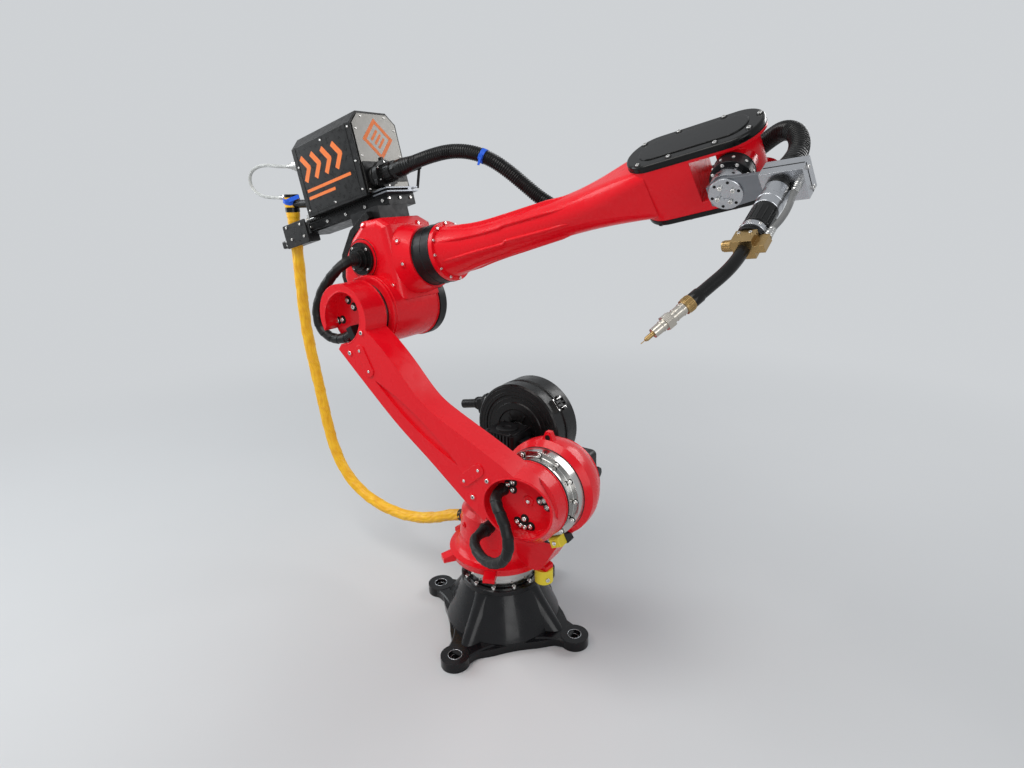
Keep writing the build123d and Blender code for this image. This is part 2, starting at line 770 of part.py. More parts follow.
with BuildPart() as cover_top:
    with BuildSketch(head.offset(head_high)):
        SlotOverall(head_length, head_width)
    extrude(amount=cover_t)
    fillet(cover_top.faces().sort_by(Axis(head.origin, head_up))[-1].edges(), cover_round)
save(cover_top, "wrist_cover_top")

with BuildPart() as cover_bottom:
    with BuildSketch(head.offset(head_low)):
        SlotOverall(head_length, head_width)
    extrude(amount=-cover_t)
    fillet(cover_bottom.faces().sort_by(Axis(head.origin, head_up))[0].edges(), cover_round)
save(cover_bottom, "wrist_cover_bottom")

tool_plane = Plane(origin=wrist_c, x_dir=tool_side, z_dir=tool_dir)
with BuildPart() as wrist:
    with BuildSketch(fork_plane.offset(slot_low + wrist_gap)):
        Circle(wrist_r)
    extrude(amount=slot_high - slot_low - 2 * wrist_gap)
    with BuildSketch(fork_plane.offset(slot_low + run_gap)):
        Circle(wrist_pin_r)
    extrude(amount=slot_high - slot_low - 2 * run_gap)
    with BuildSketch(tool_plane):
        Circle(wrist_nose_r)
    extrude(amount=j6_from)
save(wrist, "wrist_housing")

with BuildPart() as j6_ring:
    with BuildSketch(tool_plane.offset(j6_from)):
        Circle(j6_ring_r)
    extrude(amount=j6_ring_t)
save(j6_ring, "j6_bearing_ring")

disc_from = j6_from + j6_ring_t + run_gap
with BuildPart() as tool_flange:
    with BuildSketch(tool_plane.offset(disc_from)):
        Circle(tool_r - 4)
    extrude(amount=tool_t * 0.4)
    with BuildSketch(tool_plane.offset(disc_from + tool_t * 0.4)):
        Circle(tool_r)
    extrude(amount=tool_t * 0.6)
save(tool_flange, "tool_flange")

# Torch on its bracket
torch_top = wrist_c + tool_dir * torch_from + tool_side * torch_out
torch_tilt = radians(torch_tilt_deg)
torch_dir = tool_dir * cos(torch_tilt) - tool_side * sin(torch_tilt)
torch_side = tool_side * cos(torch_tilt) + tool_dir * sin(torch_tilt)
torch_plane = Plane(origin=torch_top, x_dir=torch_side, z_dir=torch_dir)
with BuildPart() as bracket:
    with BuildSketch(tool_plane.offset(disc_from + tool_t)):
        Polygon((-32, -20), (0, -32), (84, -22), (84, 22), (0, 32), (-32, 20), align=None)
    extrude(amount=plate_t)
    with BuildSketch(torch_plane.offset(clamp_from)):
        with Locations((clamp_ear / 2, 0)):
            Rectangle(clamp_side + clamp_ear, clamp_side)
    extrude(amount=clamp_t, mode=Mode.SUBTRACT)
save(bracket, "torch_bracket")

with BuildPart() as torch_clamp:
    with BuildSketch(torch_plane.offset(clamp_from)):
        with Locations((clamp_ear / 2, 0)):
            Rectangle(clamp_side + clamp_ear, clamp_side)
        Circle(torch_r + 0.1, mode=Mode.SUBTRACT)
    extrude(amount=clamp_t)
save(torch_clamp, "torch_clamp")

with BuildPart() as torch_body:
    with BuildSketch(torch_plane):
        Circle(torch_r)
    extrude(amount=torch_length)
save(torch_body, "torch_body")

with BuildPart() as brass_block:
    with BuildSketch(torch_plane.offset(torch_length)):
        Rectangle(block_side, block_side)
        with Locations((block_ear / 2, 0)):
            Rectangle(block_ear, 14)
    extrude(amount=block_t)
    with BuildSketch(Plane(origin=torch_top + torch_dir * (torch_length + block_t / 2) - torch_side * (block_side / 2),
                           z_dir=-torch_side)):
        Circle(knob_r)
    extrude(amount=knob_t)
save(brass_block, "brass_block")

neck_tilt = radians(neck_tilt_deg)
nozzle_dir = tool_dir * cos(neck_tilt) - tool_side * sin(neck_tilt)
neck_start = torch_top + torch_dir * (torch_length + block_t)
neck_corner = neck_start + torch_dir * neck_first
neck_end = neck_corner + nozzle_dir * neck_second
with BuildPart() as neck:
    with BuildLine():
        FilletPolyline(neck_start, neck_corner, neck_end, radius=neck_radius)
    with BuildSketch(Plane(origin=neck_start, z_dir=torch_dir)):
        Circle(neck_tube_r)
    sweep()
save(neck, "torch_neck")

nozzle_plane = Plane(origin=neck_end, x_dir=head_up, z_dir=nozzle_dir)
with BuildPart() as collar:
    with BuildSketch(nozzle_plane):
        Circle(collar_r)
    extrude(amount=collar_t)
save(collar, "nozzle_collar")

with BuildPart() as nozzle:
    with BuildSketch(nozzle_plane.offset(collar_t)):
        Circle(nozzle_r)
    with BuildSketch(nozzle_plane.offset(collar_t + nozzle_length)):
        Circle(nozzle_tip_r)
    loft()
    with BuildSketch(nozzle_plane.offset(collar_t + nozzle_length * 0.42)):
        RegularPolygon(hex_r, 6)
    extrude(amount=hex_t)
save(nozzle, "gas_nozzle")

with BuildPart() as tip:
    with BuildSketch(nozzle_plane.offset(collar_t + nozzle_length)):
        Circle(tip_r)
    extrude(amount=tip_t)
save(tip, "contact_tip")

# Inlets on the turret's column
inlet_dir = Vector(1, 0, 0.2)
inlet_end = Vector(-146, 33, 296)
with BuildPart() as cable_inlet:
    with BuildSketch(Plane(origin=inlet_end, z_dir=inlet_dir)):
        Circle(24)
    extrude(amount=60)
    add(turret.part, mode=Mode.SUBTRACT)
save(cable_inlet, "cable_inlet")

harness_in = Vector(38, -134, 380)
with BuildPart() as harness_inlet:
    with BuildSketch(Plane(origin=harness_in, z_dir=(0, 1, 0))):
        Circle(19)
    extrude(amount=60)
    add(turret.part, mode=Mode.SUBTRACT)
save(harness_inlet, "harness_inlet")

# Cords, from end to end
harness_d = 27.0
conduit_d = 38.0
hose_d = 11.0
tube_d = 11.0
cup_floor = arm_front + cup_depth

cable_cut = middle((-797, 10, 620), (-787, 15, 510))
cord("yellow_cable_upper", [(cable_x, cable_y, cable_top), (cable_x, cable_y, 1110), (-812, -7, 980),
                            (-818, -2, 850), (-810, 5, 730), (-797, 10, 620), cable_cut], cable_d, 1, 2)
cord("yellow_cable_lower", [cable_cut, (-787, 15, 510), (-770, 18, 412), (-732, 21, 325), (-668, 24, 262),
                            (-580, 27, 224), (-475, 29, 210), (-375, 31, 220), (-285, 32, 248),
                            inlet_end - inlet_dir * 68, inlet_end], cable_d, 2, 1)

gland_c = roll_c + along * gland_s + rise * gland_rise
plug_in = Vector(-338, cup_floor - plug_side / 2, 924)
plug_dir = Vector(30, 0, 16)
cord("harness_upper", [(gland_c.X, -gland_front, gland_c.Z), (gland_c.X, -gland_front - 30, gland_c.Z),
                       (-415, -188, 1088), (-458, -204, 1036), (-486, -210, 976), (-472, -212, 922),
                       (-424, -210, 898), plug_in - plug_dir, plug_in], harness_d)
with BuildPart() as cup_plug:
    with BuildSketch(Plane(origin=plug_in, x_dir=(0, 1, 0), z_dir=plug_dir)):
        Rectangle(plug_side, plug_side)
    extrude(amount=plug_length)
save(cup_plug, "cup_plug")

cord("harness_lower", [(152, cup_floor, 566), (152, cup_floor - 36, 566), (176, cup_floor - 66, 556),
                       (214, -274, 522), (230, -280, 472), (212, -276, 422), (168, -262, 388), (118, -240, 371),
                       (76, -216, 370), (46, -190, 378), (38, -164, 380), harness_in], harness_d)

outlet_c = feeder_corner + feed_along * outlet_from + side * outlet_y + feed_up * outlet_up
roll_cut = middle((200, 108, 1234), (290, 104, 1246))
bend_cut = middle((455, 97, 1290), (535, 92, 1316))
spin_cut = middle((704, 22, 1401), (737, -16, 1390))
cord("conduit_rear", [outlet_c, outlet_c + feed_along * 48, (-196, 6, 1393), (-140, 16, 1402), (-84, 30, 1398),
                      (-34, 46, 1380), (10, 62, 1350), (50, 80, 1314), (92, 96, 1276), (140, 105, 1248),
                      (200, 108, 1234), roll_cut], conduit_d, 1, 2)
cord("conduit_forearm", [roll_cut, (290, 104, 1246), (372, 100, 1267), (455, 97, 1290), bend_cut], conduit_d, 2, 2)
cord("wrist_hose_inner", [bend_cut, (535, 92, 1316), (592, 84, 1340), (634, 74, 1362), (672, 52, 1388),
                          (704, 22, 1401), spin_cut], conduit_d, 2, 2)
cord("wrist_hose_outer", [spin_cut, (737, -16, 1390), torch_top - torch_dir * 46, torch_top], conduit_d, 2, 1)

cord("hose_loop", [hose_start, hose_start - Vector(60, 0, 0), (-902, -8, 1394), (-962, -5, 1393), (-1012, -2, 1378),
                   (-1033, 0, 1350), (-1018, -1, 1318), (-972, -5, 1297), (-905, cable_y, hose_z),
                   (cable_x - socket_side, cable_y, hose_z)], hose_d)


def torch_point(distance, out):
    """A point beside the torch, from its top and from its centre line."""
    return torch_top + torch_dir * distance + torch_side * out


cord("torch_tube", [torch_point(clamp_from + clamp_t, 32), torch_point(94, 32), torch_point(130, 38),
                    torch_point(168, 37), torch_point(194, 29), torch_point(torch_length, 29)], tube_d)
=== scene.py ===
import json
from math import cos, pi, radians, sin, tau

import bpy
import numpy as np
from mathutils import Matrix, Vector
from mathutils.bvhtree import BVHTree


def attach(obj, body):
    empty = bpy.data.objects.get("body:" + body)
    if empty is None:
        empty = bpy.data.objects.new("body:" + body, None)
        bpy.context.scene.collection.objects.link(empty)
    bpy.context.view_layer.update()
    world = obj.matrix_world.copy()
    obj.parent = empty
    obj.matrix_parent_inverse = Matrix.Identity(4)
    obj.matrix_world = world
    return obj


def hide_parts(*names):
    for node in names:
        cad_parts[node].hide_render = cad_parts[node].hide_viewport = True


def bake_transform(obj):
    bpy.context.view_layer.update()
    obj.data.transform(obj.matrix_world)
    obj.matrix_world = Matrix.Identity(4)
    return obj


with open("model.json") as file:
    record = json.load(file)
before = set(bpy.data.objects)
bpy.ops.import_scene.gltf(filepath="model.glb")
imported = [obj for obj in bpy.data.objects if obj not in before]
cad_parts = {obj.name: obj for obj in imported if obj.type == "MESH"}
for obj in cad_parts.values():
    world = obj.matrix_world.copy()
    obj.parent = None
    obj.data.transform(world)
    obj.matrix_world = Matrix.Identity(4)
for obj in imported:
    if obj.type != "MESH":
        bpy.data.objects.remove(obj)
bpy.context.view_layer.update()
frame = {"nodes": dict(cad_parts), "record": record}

nodes = frame["nodes"]

# Camera, in metres
camera_place = Vector((1.01, -1.3734, 1.3026))
view_azimuth = 34.833      # degrees round from +Y towards -X
view_fall = 17.296         # degrees below level
camera_roll = -1.365
focal_px = 628.55          # focal length in pixels of a frame 1024 wide
sensor_width = 36.0
frame_width = 1024

# Route points of the cords, in metres
routes = {
    "yellow_cable_upper": (
        (-0.803, -0.01, 1.244), (-0.803, -0.01, 1.11), (-0.812, -0.007, 0.98), (-0.818, -0.002, 0.85),
        (-0.81, 0.005, 0.73), (-0.797, 0.01, 0.62), (-0.792, 0.0125, 0.565)),
    "yellow_cable_lower": (
        (-0.792, 0.0125, 0.565), (-0.787, 0.015, 0.51), (-0.77, 0.018, 0.412), (-0.732, 0.021, 0.325),
        (-0.668, 0.024, 0.262), (-0.58, 0.027, 0.224), (-0.475, 0.029, 0.21), (-0.375, 0.031, 0.22),
        (-0.285, 0.032, 0.248), (-0.214, 0.033, 0.2824), (-0.146, 0.033, 0.296)),
    "harness_upper": (
        (-0.38724, -0.133, 1.11843), (-0.38724, -0.163, 1.11843), (-0.415, -0.188, 1.088),
        (-0.458, -0.204, 1.036), (-0.486, -0.21, 0.976), (-0.472, -0.212, 0.922), (-0.424, -0.21, 0.898),
        (-0.368, -0.208, 0.908), (-0.338, -0.208, 0.924)),
    "harness_lower": (
        (0.152, -0.19, 0.566), (0.152, -0.226, 0.566), (0.176, -0.256, 0.556), (0.214, -0.274, 0.522),
        (0.23, -0.28, 0.472), (0.212, -0.276, 0.422), (0.168, -0.262, 0.388), (0.118, -0.24, 0.371),
        (0.076, -0.216, 0.37), (0.046, -0.19, 0.378), (0.038, -0.164, 0.38), (0.038, -0.134, 0.38)),
    "conduit_rear": (
        (-0.29745, 0.0, 1.36863), (-0.25078, 0.0, 1.37983), (-0.196, 0.006, 1.393), (-0.14, 0.016, 1.402),
        (-0.084, 0.03, 1.398), (-0.034, 0.046, 1.38), (0.01, 0.062, 1.35), (0.05, 0.08, 1.314),
        (0.092, 0.096, 1.276), (0.14, 0.105, 1.248), (0.2, 0.108, 1.234), (0.245, 0.106, 1.24)),
    "conduit_forearm": (
        (0.245, 0.106, 1.24), (0.29, 0.104, 1.246), (0.372, 0.1, 1.267), (0.455, 0.097, 1.29),
        (0.495, 0.0945, 1.303)),
    "wrist_hose_inner": (
        (0.495, 0.0945, 1.303), (0.535, 0.092, 1.316), (0.592, 0.084, 1.34), (0.634, 0.074, 1.362),
        (0.672, 0.052, 1.388), (0.704, 0.022, 1.401), (0.7205, 0.003, 1.3955)),
    "wrist_hose_outer": (
        (0.7205, 0.003, 1.3955), (0.737, -0.016, 1.39), (0.75288, -0.05853, 1.35695),
        (0.74897, -0.09669, 1.33156)),
    "hose_loop": (
        (-0.776, -0.01, 1.386), (-0.836, -0.01, 1.386), (-0.902, -0.008, 1.394), (-0.962, -0.005, 1.393),
        (-1.012, -0.002, 1.378), (-1.033, 0.0, 1.35), (-1.018, -0.001, 1.318), (-0.972, -0.005, 1.297),
        (-0.905, -0.01, 1.29), (-0.838, -0.01, 1.29)),
    "torch_tube": (
        (0.77431, -0.1604, 1.29658), (0.77227, -0.1803, 1.28333), (0.77507, -0.21123, 1.26415),
        (0.77086, -0.24257, 1.24306), (0.76083, -0.26273, 1.2278), (0.75913, -0.27932, 1.21676)),
}

# Directions and places that the pieces share
side = Vector((0, 1, 0))
front = Vector((0, -1, 0))
up = Vector((0, 0, 1))
east = Vector((1, 0, 0))
along = Vector((0.973976, 0, 0.226651))
rise = Vector((-0.226651, 0, 0.973976))
head_up = Vector((-0.192211, -0.529919, 0.825978))
head_side = Vector((0.120107, -0.848048, -0.516129))
arm_dir = Vector((-0.783693, 0, 0.621148))
arm_under = Vector((-0.621148, 0, -0.783693))
feed_along = Vector((0.97237, 0, 0.23345))
feed_up = Vector((-0.23345, 0, 0.97237))
tool_dir = Vector((0.068968, -0.846886, -0.527283))
tool_side = Vector((0.978927, -0.044383, 0.199329))
torch_dir = Vector((-0.085019, -0.829516, -0.551973))
torch_side = Vector((0.977664, -0.176319, 0.114389))
torch_across = torch_dir.cross(torch_side)
nozzle_dir = Vector((-0.47532, -0.686085, -0.550779))
shoulder = Vector((0.21, 0, 0.534))
elbow_c = Vector((-0.34485, 0, 0.97377))
roll_c = Vector((-0.37092, 0, 1.08578))
gland_c = Vector((-0.38724, 0, 1.11843))
feeder_corner = Vector((-0.40293, -0.048, 1.29394))
wrist_c = Vector((0.63549, -0.02067, 1.35393))
torch_top = Vector((0.74897, -0.09669, 1.33156))
neck_end = Vector((0.6803, -0.3951, 1.1241))
drum_c = Vector((-0.03, 0.14, 0.577))


def add_camera():
    data = bpy.data.cameras.new("camera")
    data.sensor_width = sensor_width
    data.lens = focal_px / frame_width * sensor_width
    data.clip_start = 0.05
    camera = bpy.data.objects.new("camera", data)
    bpy.context.scene.collection.objects.link(camera)
    heading = Matrix.Rotation(radians(view_azimuth), 4, "Z")
    tilt = Matrix.Rotation(radians(90 - view_fall), 4, "X")
    roll = Matrix.Rotation(radians(camera_roll), 4, "Z")
    camera.matrix_world = Matrix.Translation(camera_place) @ heading @ tilt @ roll
    bpy.context.scene.camera = camera


# Materials


class Shader:
    """A node tree that is built up a node at a time around one Principled shader."""

    def __init__(self, name, color, roughness, metallic=0.0, place="Object"):
        self.material = bpy.data.materials.new(name)
        self.material.use_nodes = True
        self.tree = self.material.node_tree
        self.tree.nodes.clear()
        self.output = self.tree.nodes.new("ShaderNodeOutputMaterial")
        self.shader = self.tree.nodes.new("ShaderNodeBsdfPrincipled")
        self.link(self.shader.outputs[0], self.output.inputs[0])
        self.set("Base Color", (*color, 1))
        self.set("Roughness", roughness)
        self.set("Metallic", metallic)
        self.place = self.node("ShaderNodeTexCoord").outputs[place]

    def set(self, socket, value):
        self.shader.inputs[socket].default_value = value

    def node(self, kind, **values):
        made = self.tree.nodes.new(kind)
        for key, value in values.items():
            if key in made.inputs:
                made.inputs[key].default_value = value
            else:
                setattr(made, key, value)
        return made

    def link(self, start, end):
        self.tree.links.new(start, end)

    def spread(self, stretch):
        made = self.node("ShaderNodeMapping", Scale=stretch)
        self.link(self.place, made.inputs["Vector"])
        return made.outputs[0]

    def noise(self, scale, detail=4.0, stretch=(1, 1, 1)):
        made = self.node("ShaderNodeTexNoise", Scale=scale, Detail=detail)
        self.link(self.spread(stretch), made.inputs["Vector"])
        return made.outputs["Fac"]

    def bands(self, scale, axis="X"):
        made = self.node("ShaderNodeTexWave", Scale=scale, bands_direction=axis)
        self.link(self.spread((1, 1, 1)), made.inputs["Vector"])
        return made.outputs["Fac"]

    def both(self, first, second, operation="MULTIPLY"):
        made = self.node("ShaderNodeMath", operation=operation)
        self.link(first, made.inputs[0])
        self.link(second, made.inputs[1])
        return made.outputs[0]

    def span(self, value, low, high, start=0.35, end=0.65):
        made = self.node("ShaderNodeMapRange")
        made.inputs["From Min"].default_value = start
        made.inputs["From Max"].default_value = end
        made.inputs["To Min"].default_value = low
        made.inputs["To Max"].default_value = high
        self.link(value, made.inputs["Value"])
        return made.outputs[0]

    def color(self, value, first, second):
        made = self.node("ShaderNodeMix", data_type="RGBA")
        colors = [socket for socket in made.inputs if socket.type == "RGBA"]
        colors[0].default_value = (*first, 1)
        colors[1].default_value = (*second, 1)
        self.link(value, made.inputs["Factor"])
        mixed = [socket for socket in made.outputs if socket.type == "RGBA"][0]
        self.link(mixed, self.shader.inputs["Base Color"])

    def rough(self, value, low, high):
        self.link(self.span(value, low, high), self.shader.inputs["Roughness"])

    def bump(self, value, height, distance=0.001, edge=0.0):
        """Relief from a value, and where edge is above 0 the edges look rounded by that radius."""
        made = self.node("ShaderNodeBump", Strength=height, Distance=distance)
        self.link(value, made.inputs["Height"])
        if edge:
            soft = self.node("ShaderNodeBevel", samples=4, Radius=edge)
            self.link(soft.outputs[0], made.inputs["Normal"])
        self.link(made.outputs[0], self.shader.inputs["Normal"])


def enamel(name, color, dark, roughness=0.24):
    """Gloss paint on a casting: faint orange peel, slightly uneven gloss and a clear top layer."""
    made = Shader(name, color, roughness)
    made.color(made.noise(6, 5), dark, color)
    made.rough(made.noise(28, 5), roughness - 0.05, roughness + 0.1)
    made.bump(made.noise(240, 3), 0.14, 0.0006, 0.0025)
    made.set("Specular IOR Level", 0.2)
    made.set("Coat Weight", 0.16)
    made.set("Coat Roughness", 0.06)
    return made.material


def satin(name, color, pale, roughness=0.45, grain=900, height=0.12, edge=0.001):
    """Moulded plastic or powder-coated sheet with a fine grain."""
    made = Shader(name, color, roughness)
    made.color(made.noise(9, 5), color, pale)
    made.rough(made.noise(60, 4), roughness - 0.08, roughness + 0.1)
    made.bump(made.noise(grain, 2), height, 0.0004, edge)
    made.set("Specular IOR Level", 0.22)
    return made.material


def metal(name, color, dark, roughness=0.25, stretch=(1, 1, 1), scale=90, edge=0.0008):
    """Machined or plated metal; stretch draws the fine scratches out along an axis."""
    made = Shader(name, color, roughness, 1.0)
    made.color(made.noise(40, 3), dark, color)
    made.rough(made.noise(scale, 4, stretch), roughness - 0.04, roughness + 0.06)
    made.bump(made.noise(scale * 3, 2, stretch), 0.02, 0.0002, edge)
    return made.material


def woven(name, color, pale, roughness, pitch):
    """Woven sleeve; its threads cross at the given pitch along and round the cord."""
    made = Shader(name, color, roughness, 0.0, "UV")
    scale = tau / (20 * pitch)
    threads = made.both(made.bands(scale, "X"), made.bands(scale, "Y"))
    made.color(made.span(made.noise(30, 4), 0.0, 1.0), color, pale)
    made.rough(made.noise(120, 3), roughness - 0.08, roughness + 0.08)
    made.bump(made.both(threads, made.noise(400, 2), "ADD"), 0.3, 0.0005)
    return made.material


# Looks: maker, name, colour, second colour, roughness and what else the maker takes
looks = (
    (enamel, "red_paint", (0.8, 0.004, 0.014), (0.71, 0.003, 0.01), 0.25),
    (enamel, "black_paint", (0.004, 0.004, 0.005), (0.006, 0.006, 0.007), 0.22),
    (metal, "bright_steel", (0.52, 0.515, 0.5), (0.48, 0.475, 0.46), 0.17, (1, 1, 10), 300),
    (satin, "yellow_rubber", (0.8, 0.63, 0.035), (0.84, 0.68, 0.06), 0.45),
    (satin, "motor_black", (0.006, 0.006, 0.007), (0.01, 0.01, 0.01), 0.36),
    (satin, "drum_plastic", (0.006, 0.006, 0.006), (0.009, 0.009, 0.009), 0.3),
    (satin, "feeder_paint", (0.006, 0.006, 0.006), (0.009, 0.009, 0.009), 0.32, 1400, 0.03, 0.0015),
    (satin, "cover_plastic", (0.004, 0.004, 0.004), (0.006, 0.006, 0.006), 0.16, 500, 0.03, 0.002),
    (metal, "alloy", (0.5, 0.51, 0.53), (0.43, 0.44, 0.46), 0.26, (1, 1, 1), 200),
    (satin, "torch_rubber", (0.006, 0.006, 0.006), (0.01, 0.01, 0.01), 0.24),
    (metal, "nozzle_nickel", (0.58, 0.55, 0.5), (0.48, 0.44, 0.38), 0.2),
    (woven, "yellow_sleeve", (0.86, 0.42, 0.003), (0.97, 0.55, 0.008), 0.42, 0.0022),
    (satin, "hose_black", (0.006, 0.006, 0.006), (0.011, 0.011, 0.011), 0.4, 700, 0.15, 0),
    (metal, "stainless", (0.17, 0.165, 0.155), (0.14, 0.136, 0.128), 0.36, (1, 14, 1), 160),
    (satin, "conduit_black", (0.006, 0.006, 0.006), (0.01, 0.01, 0.01), 0.28, 700, 0.1, 0),
    (woven, "braid_grey", (0.42, 0.43, 0.42), (0.56, 0.57, 0.55), 0.42, 0.001),
    (metal, "brass", (0.44, 0.3, 0.13), (0.34, 0.22, 0.09), 0.3, (1, 1, 1), 160),
    (satin, "tube_grey", (0.15, 0.15, 0.15), (0.2, 0.2, 0.195), 0.34, 900, 0.08, 0),
    (metal, "zinc", (0.74, 0.73, 0.71), (0.64, 0.63, 0.61), 0.22, (1, 1, 1), 240, 0.0004),
    (metal, "oxide", (0.045, 0.045, 0.048), (0.03, 0.03, 0.032), 0.34, (1, 1, 1), 240, 0.0004),
    (satin, "orange_ink", (0.78, 0.17, 0.03), (0.84, 0.21, 0.05), 0.42, 1200, 0.05, 0),
    (satin, "blue_band", (0.012, 0.09, 0.6), (0.03, 0.14, 0.7), 0.4, 900, 0.1, 0.0005),
    (metal, "bracket_grey", (0.24, 0.25, 0.27), (0.19, 0.2, 0.215), 0.34, (1, 1, 1), 200),
    # Near-black: painted shade in holes, wells and recesses under bolts, and the real dark of seams, splits
    # and gaskets
    (satin, "pit_black", (0.004, 0.004, 0.004), (0.006, 0.006, 0.006), 0.6, 900, 0.1, 0),
    (metal, "white_plate", (0.8, 0.79, 0.77), (0.72, 0.71, 0.69), 0.3, (1, 1, 1), 240, 0.0004),
)
materials = {name: maker(name, *values) for maker, name, *values in looks}
subparts = frame["record"]["subparts"]
# CAD nodes that the photo shows in another look than their slot's
other_looks = {"rear_clamp": "feeder_paint", "torch_bracket": "bracket_grey", "rail_plates": "bracket_grey"}


def finish_nodes():
    """Gives every CAD node the look of its slot in the record, or its own one."""
    for row in subparts:
        mesh = nodes[row["node"]].data
        mesh.materials.clear()
        mesh.materials.append(materials[other_looks.get(row["node"], row["material_slot"])])


# Shapes


def facing(place, normal, x_dir=None):
    """Matrix with its origin at place, its Z along normal and, if given, its X along x_dir."""
    z_axis = Vector(normal).normalized()
    if x_dir is None:
        return Matrix.Translation(place) @ z_axis.to_track_quat("Z", "Y").to_matrix().to_4x4()
    x_axis = Vector(x_dir)
    x_axis = (x_axis - z_axis * x_axis.dot(z_axis)).normalized()
    y_axis = z_axis.cross(x_axis)
    turn = Matrix((x_axis, y_axis, z_axis)).transposed().to_4x4()
    return Matrix.Translation(place) @ turn


def inset(outline, depth):
    """The outline, a counterclockwise list of points, moved inwards."""
    moved = []
    for number, point in enumerate(outline):
        before = Vector(outline[number - 1])
        here = Vector(point)
        after = Vector(outline[(number + 1) % len(outline)])
        one = (here - before).normalized()
        two = (after - here).normalized()
        inward = Vector((-one.y - two.y, one.x + two.x))
        share = max(0.3, 1 + one.dot(two))
        moved.append(tuple(here + inward * (depth / share)))
    return moved


def box_outline(wide, high, corner=0.0, steps=5):
    """Rectangle about the origin with rounded corners."""
    if not corner:
        return [(-wide / 2, -high / 2), (wide / 2, -high / 2), (wide / 2, high / 2), (-wide / 2, high / 2)]
    points = []
    for turn, (across, upward) in enumerate(((1, 1), (-1, 1), (-1, -1), (1, -1))):
        for step in range(steps + 1):
            angle = pi / 2 * (turn + step / steps)
            points.append((across * (wide / 2 - corner) + corner * cos(angle),
                           upward * (high / 2 - corner) + corner * sin(angle)))
    return points


# Pieces that move with one body; they are built once all are drawn
waiting = []


class Solid:
    """Points and faces of one piece, with its name, its look and the body that it moves with."""

    def __init__(self, name, look, body=None, sharp=30):
        self.name = name
        self.look = look
        self.body = body
        self.sharp = sharp
        self.points = []
        self.faces = []
        if body:
            waiting.append(self)

    def build(self):
        """Turns the solid into an object."""
        mesh = bpy.data.meshes.new(self.name)
        mesh.from_pydata(self.points, [], self.faces)
        mesh.shade_smooth()
        mesh.set_sharp_from_angle(angle=radians(self.sharp))
        mesh.materials.append(materials[self.look])
        thing = bpy.data.objects.new(self.name, mesh)
        bpy.context.scene.collection.objects.link(thing)
        if self.body:
            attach(thing, self.body)
        return thing

    def skin(self, rows, closed=False):
        """Joins rows of points, each running the same way round, and closes both ends or joins them."""
        first = len(self.points)
        count = len(rows[0])
        for row in rows:
            self.points.extend(tuple(point) for point in row)
        starts = [first + number * count for number in range(len(rows))]
        pairs = list(zip(starts, starts[1:]))
        if closed:
            pairs.append((starts[-1], starts[0]))
        for low, high in pairs:
            for number in range(count):
                after = (number + 1) % count
                self.faces.append((low + number, low + after, high + after, high + number))
        if not closed:
            self.faces.append(tuple(reversed(range(first, first + count))))
            self.faces.append(tuple(range(starts[-1], starts[-1] + count)))

    def turned(self, place, rings, sides=24):
        """Rings of (radius, height) about the Z axis of place; a third value gives that ring flats."""
        rows = []
        for radius, height, *flats in rings:
            row = []
            for number in range(sides):
                angle = tau * number / sides
                reach = radius
                if flats:
                    part = tau / flats[0]
                    reach = radius * cos(part / 2) / cos(angle % part - part / 2)
                row.append(place @ Vector((reach * cos(angle), reach * sin(angle), height)))
            rows.append(row)
        self.skin(rows)

    def wheel(self, place, section, sides):
        """Closed section of (radius, height) drawn round the Z axis of place."""
        rows = []
        for number in range(sides):
            angle = tau * number / sides
            turn = Matrix.Rotation(angle, 4, "Z")
            rows.append([place @ turn @ Vector((reach, 0, height)) for reach, height in section])
        self.skin(rows, closed=True)

    def hoop(self, place, radius, thick, sides=48, wide=1.0):
        """Ring of round section about the Z axis of place; wide stretches the section along the axis."""
        bends = [tau * step / 10 for step in reversed(range(10))]
        self.wheel(place, [(radius + thick * cos(turn), wide * thick * sin(turn)) for turn in bends], sides)

    def prism(self, place, outline, low, high, edge=0.0):
        """Outline drawn up along the Z axis of place, with its upper edge cut."""
        rows = [(outline, low), (outline, high - edge)]
        if edge:
            rows.append((inset(outline, edge), high))
        self.skin([[place @ Vector((x, y, z)) for x, y in points] for points, z in rows])

    def box(self, place, size, low, high, edge=0.0):
        """Rounded rectangle drawn up; size is its width and height, and its corners' radius if any."""
        self.prism(place, box_outline(*size), low, high, edge)

    def screw(self, place, radius, head):
        """Cap screw with a hexagonal socket."""
        self.turned(place, [(radius, -0.002), (radius, head - 0.14 * radius), (0.88 * radius, head),
                            (0.56 * radius, head, 6), (0.52 * radius, head * 0.4, 6)])

    def screws(self, places, radius, head):
        for place in places:
            self.screw(place, radius, head)

    def hex_bolt(self, place, radius, head):
        """Hexagon head on a washer."""
        washer = 0.22 * radius
        self.turned(place, [(1.3 * radius, -0.002), (1.3 * radius, washer), (radius, washer, 6),
                            (radius, head - 0.1 * radius, 6), (0.86 * radius, head)])

    def pan(self, place, radius, head):
        """Low dome with a hexagonal socket."""
        self.turned(place, [(radius, -0.001), (radius, 0.35 * head), (0.8 * radius, 0.85 * head),
                            (0.42 * radius, head, 6), (0.36 * radius, 0.4 * head, 6)])


def turns(count, start=0):
    """Even angles round a circle, in degrees."""
    return [start + 360 / count * number for number in range(count)]


def polar(angle):
    """Level direction at an angle from +X, in degrees."""
    return Vector((cos(radians(angle)), sin(radians(angle)), 0))


def moved(place, x, y=0.0, z=0.0):
    return place @ Matrix.Translation((x, y, z))


def spun(place, angle):
    return place @ Matrix.Rotation(radians(angle), 4, "Z")


def around(place, normal, radius, angles, x_dir=east):
    """Frames on a circle about a point, each facing along the normal."""
    base = facing(place, normal, x_dir)
    return [moved(base, radius * cos(radians(a)), radius * sin(radians(a))) for a in angles]


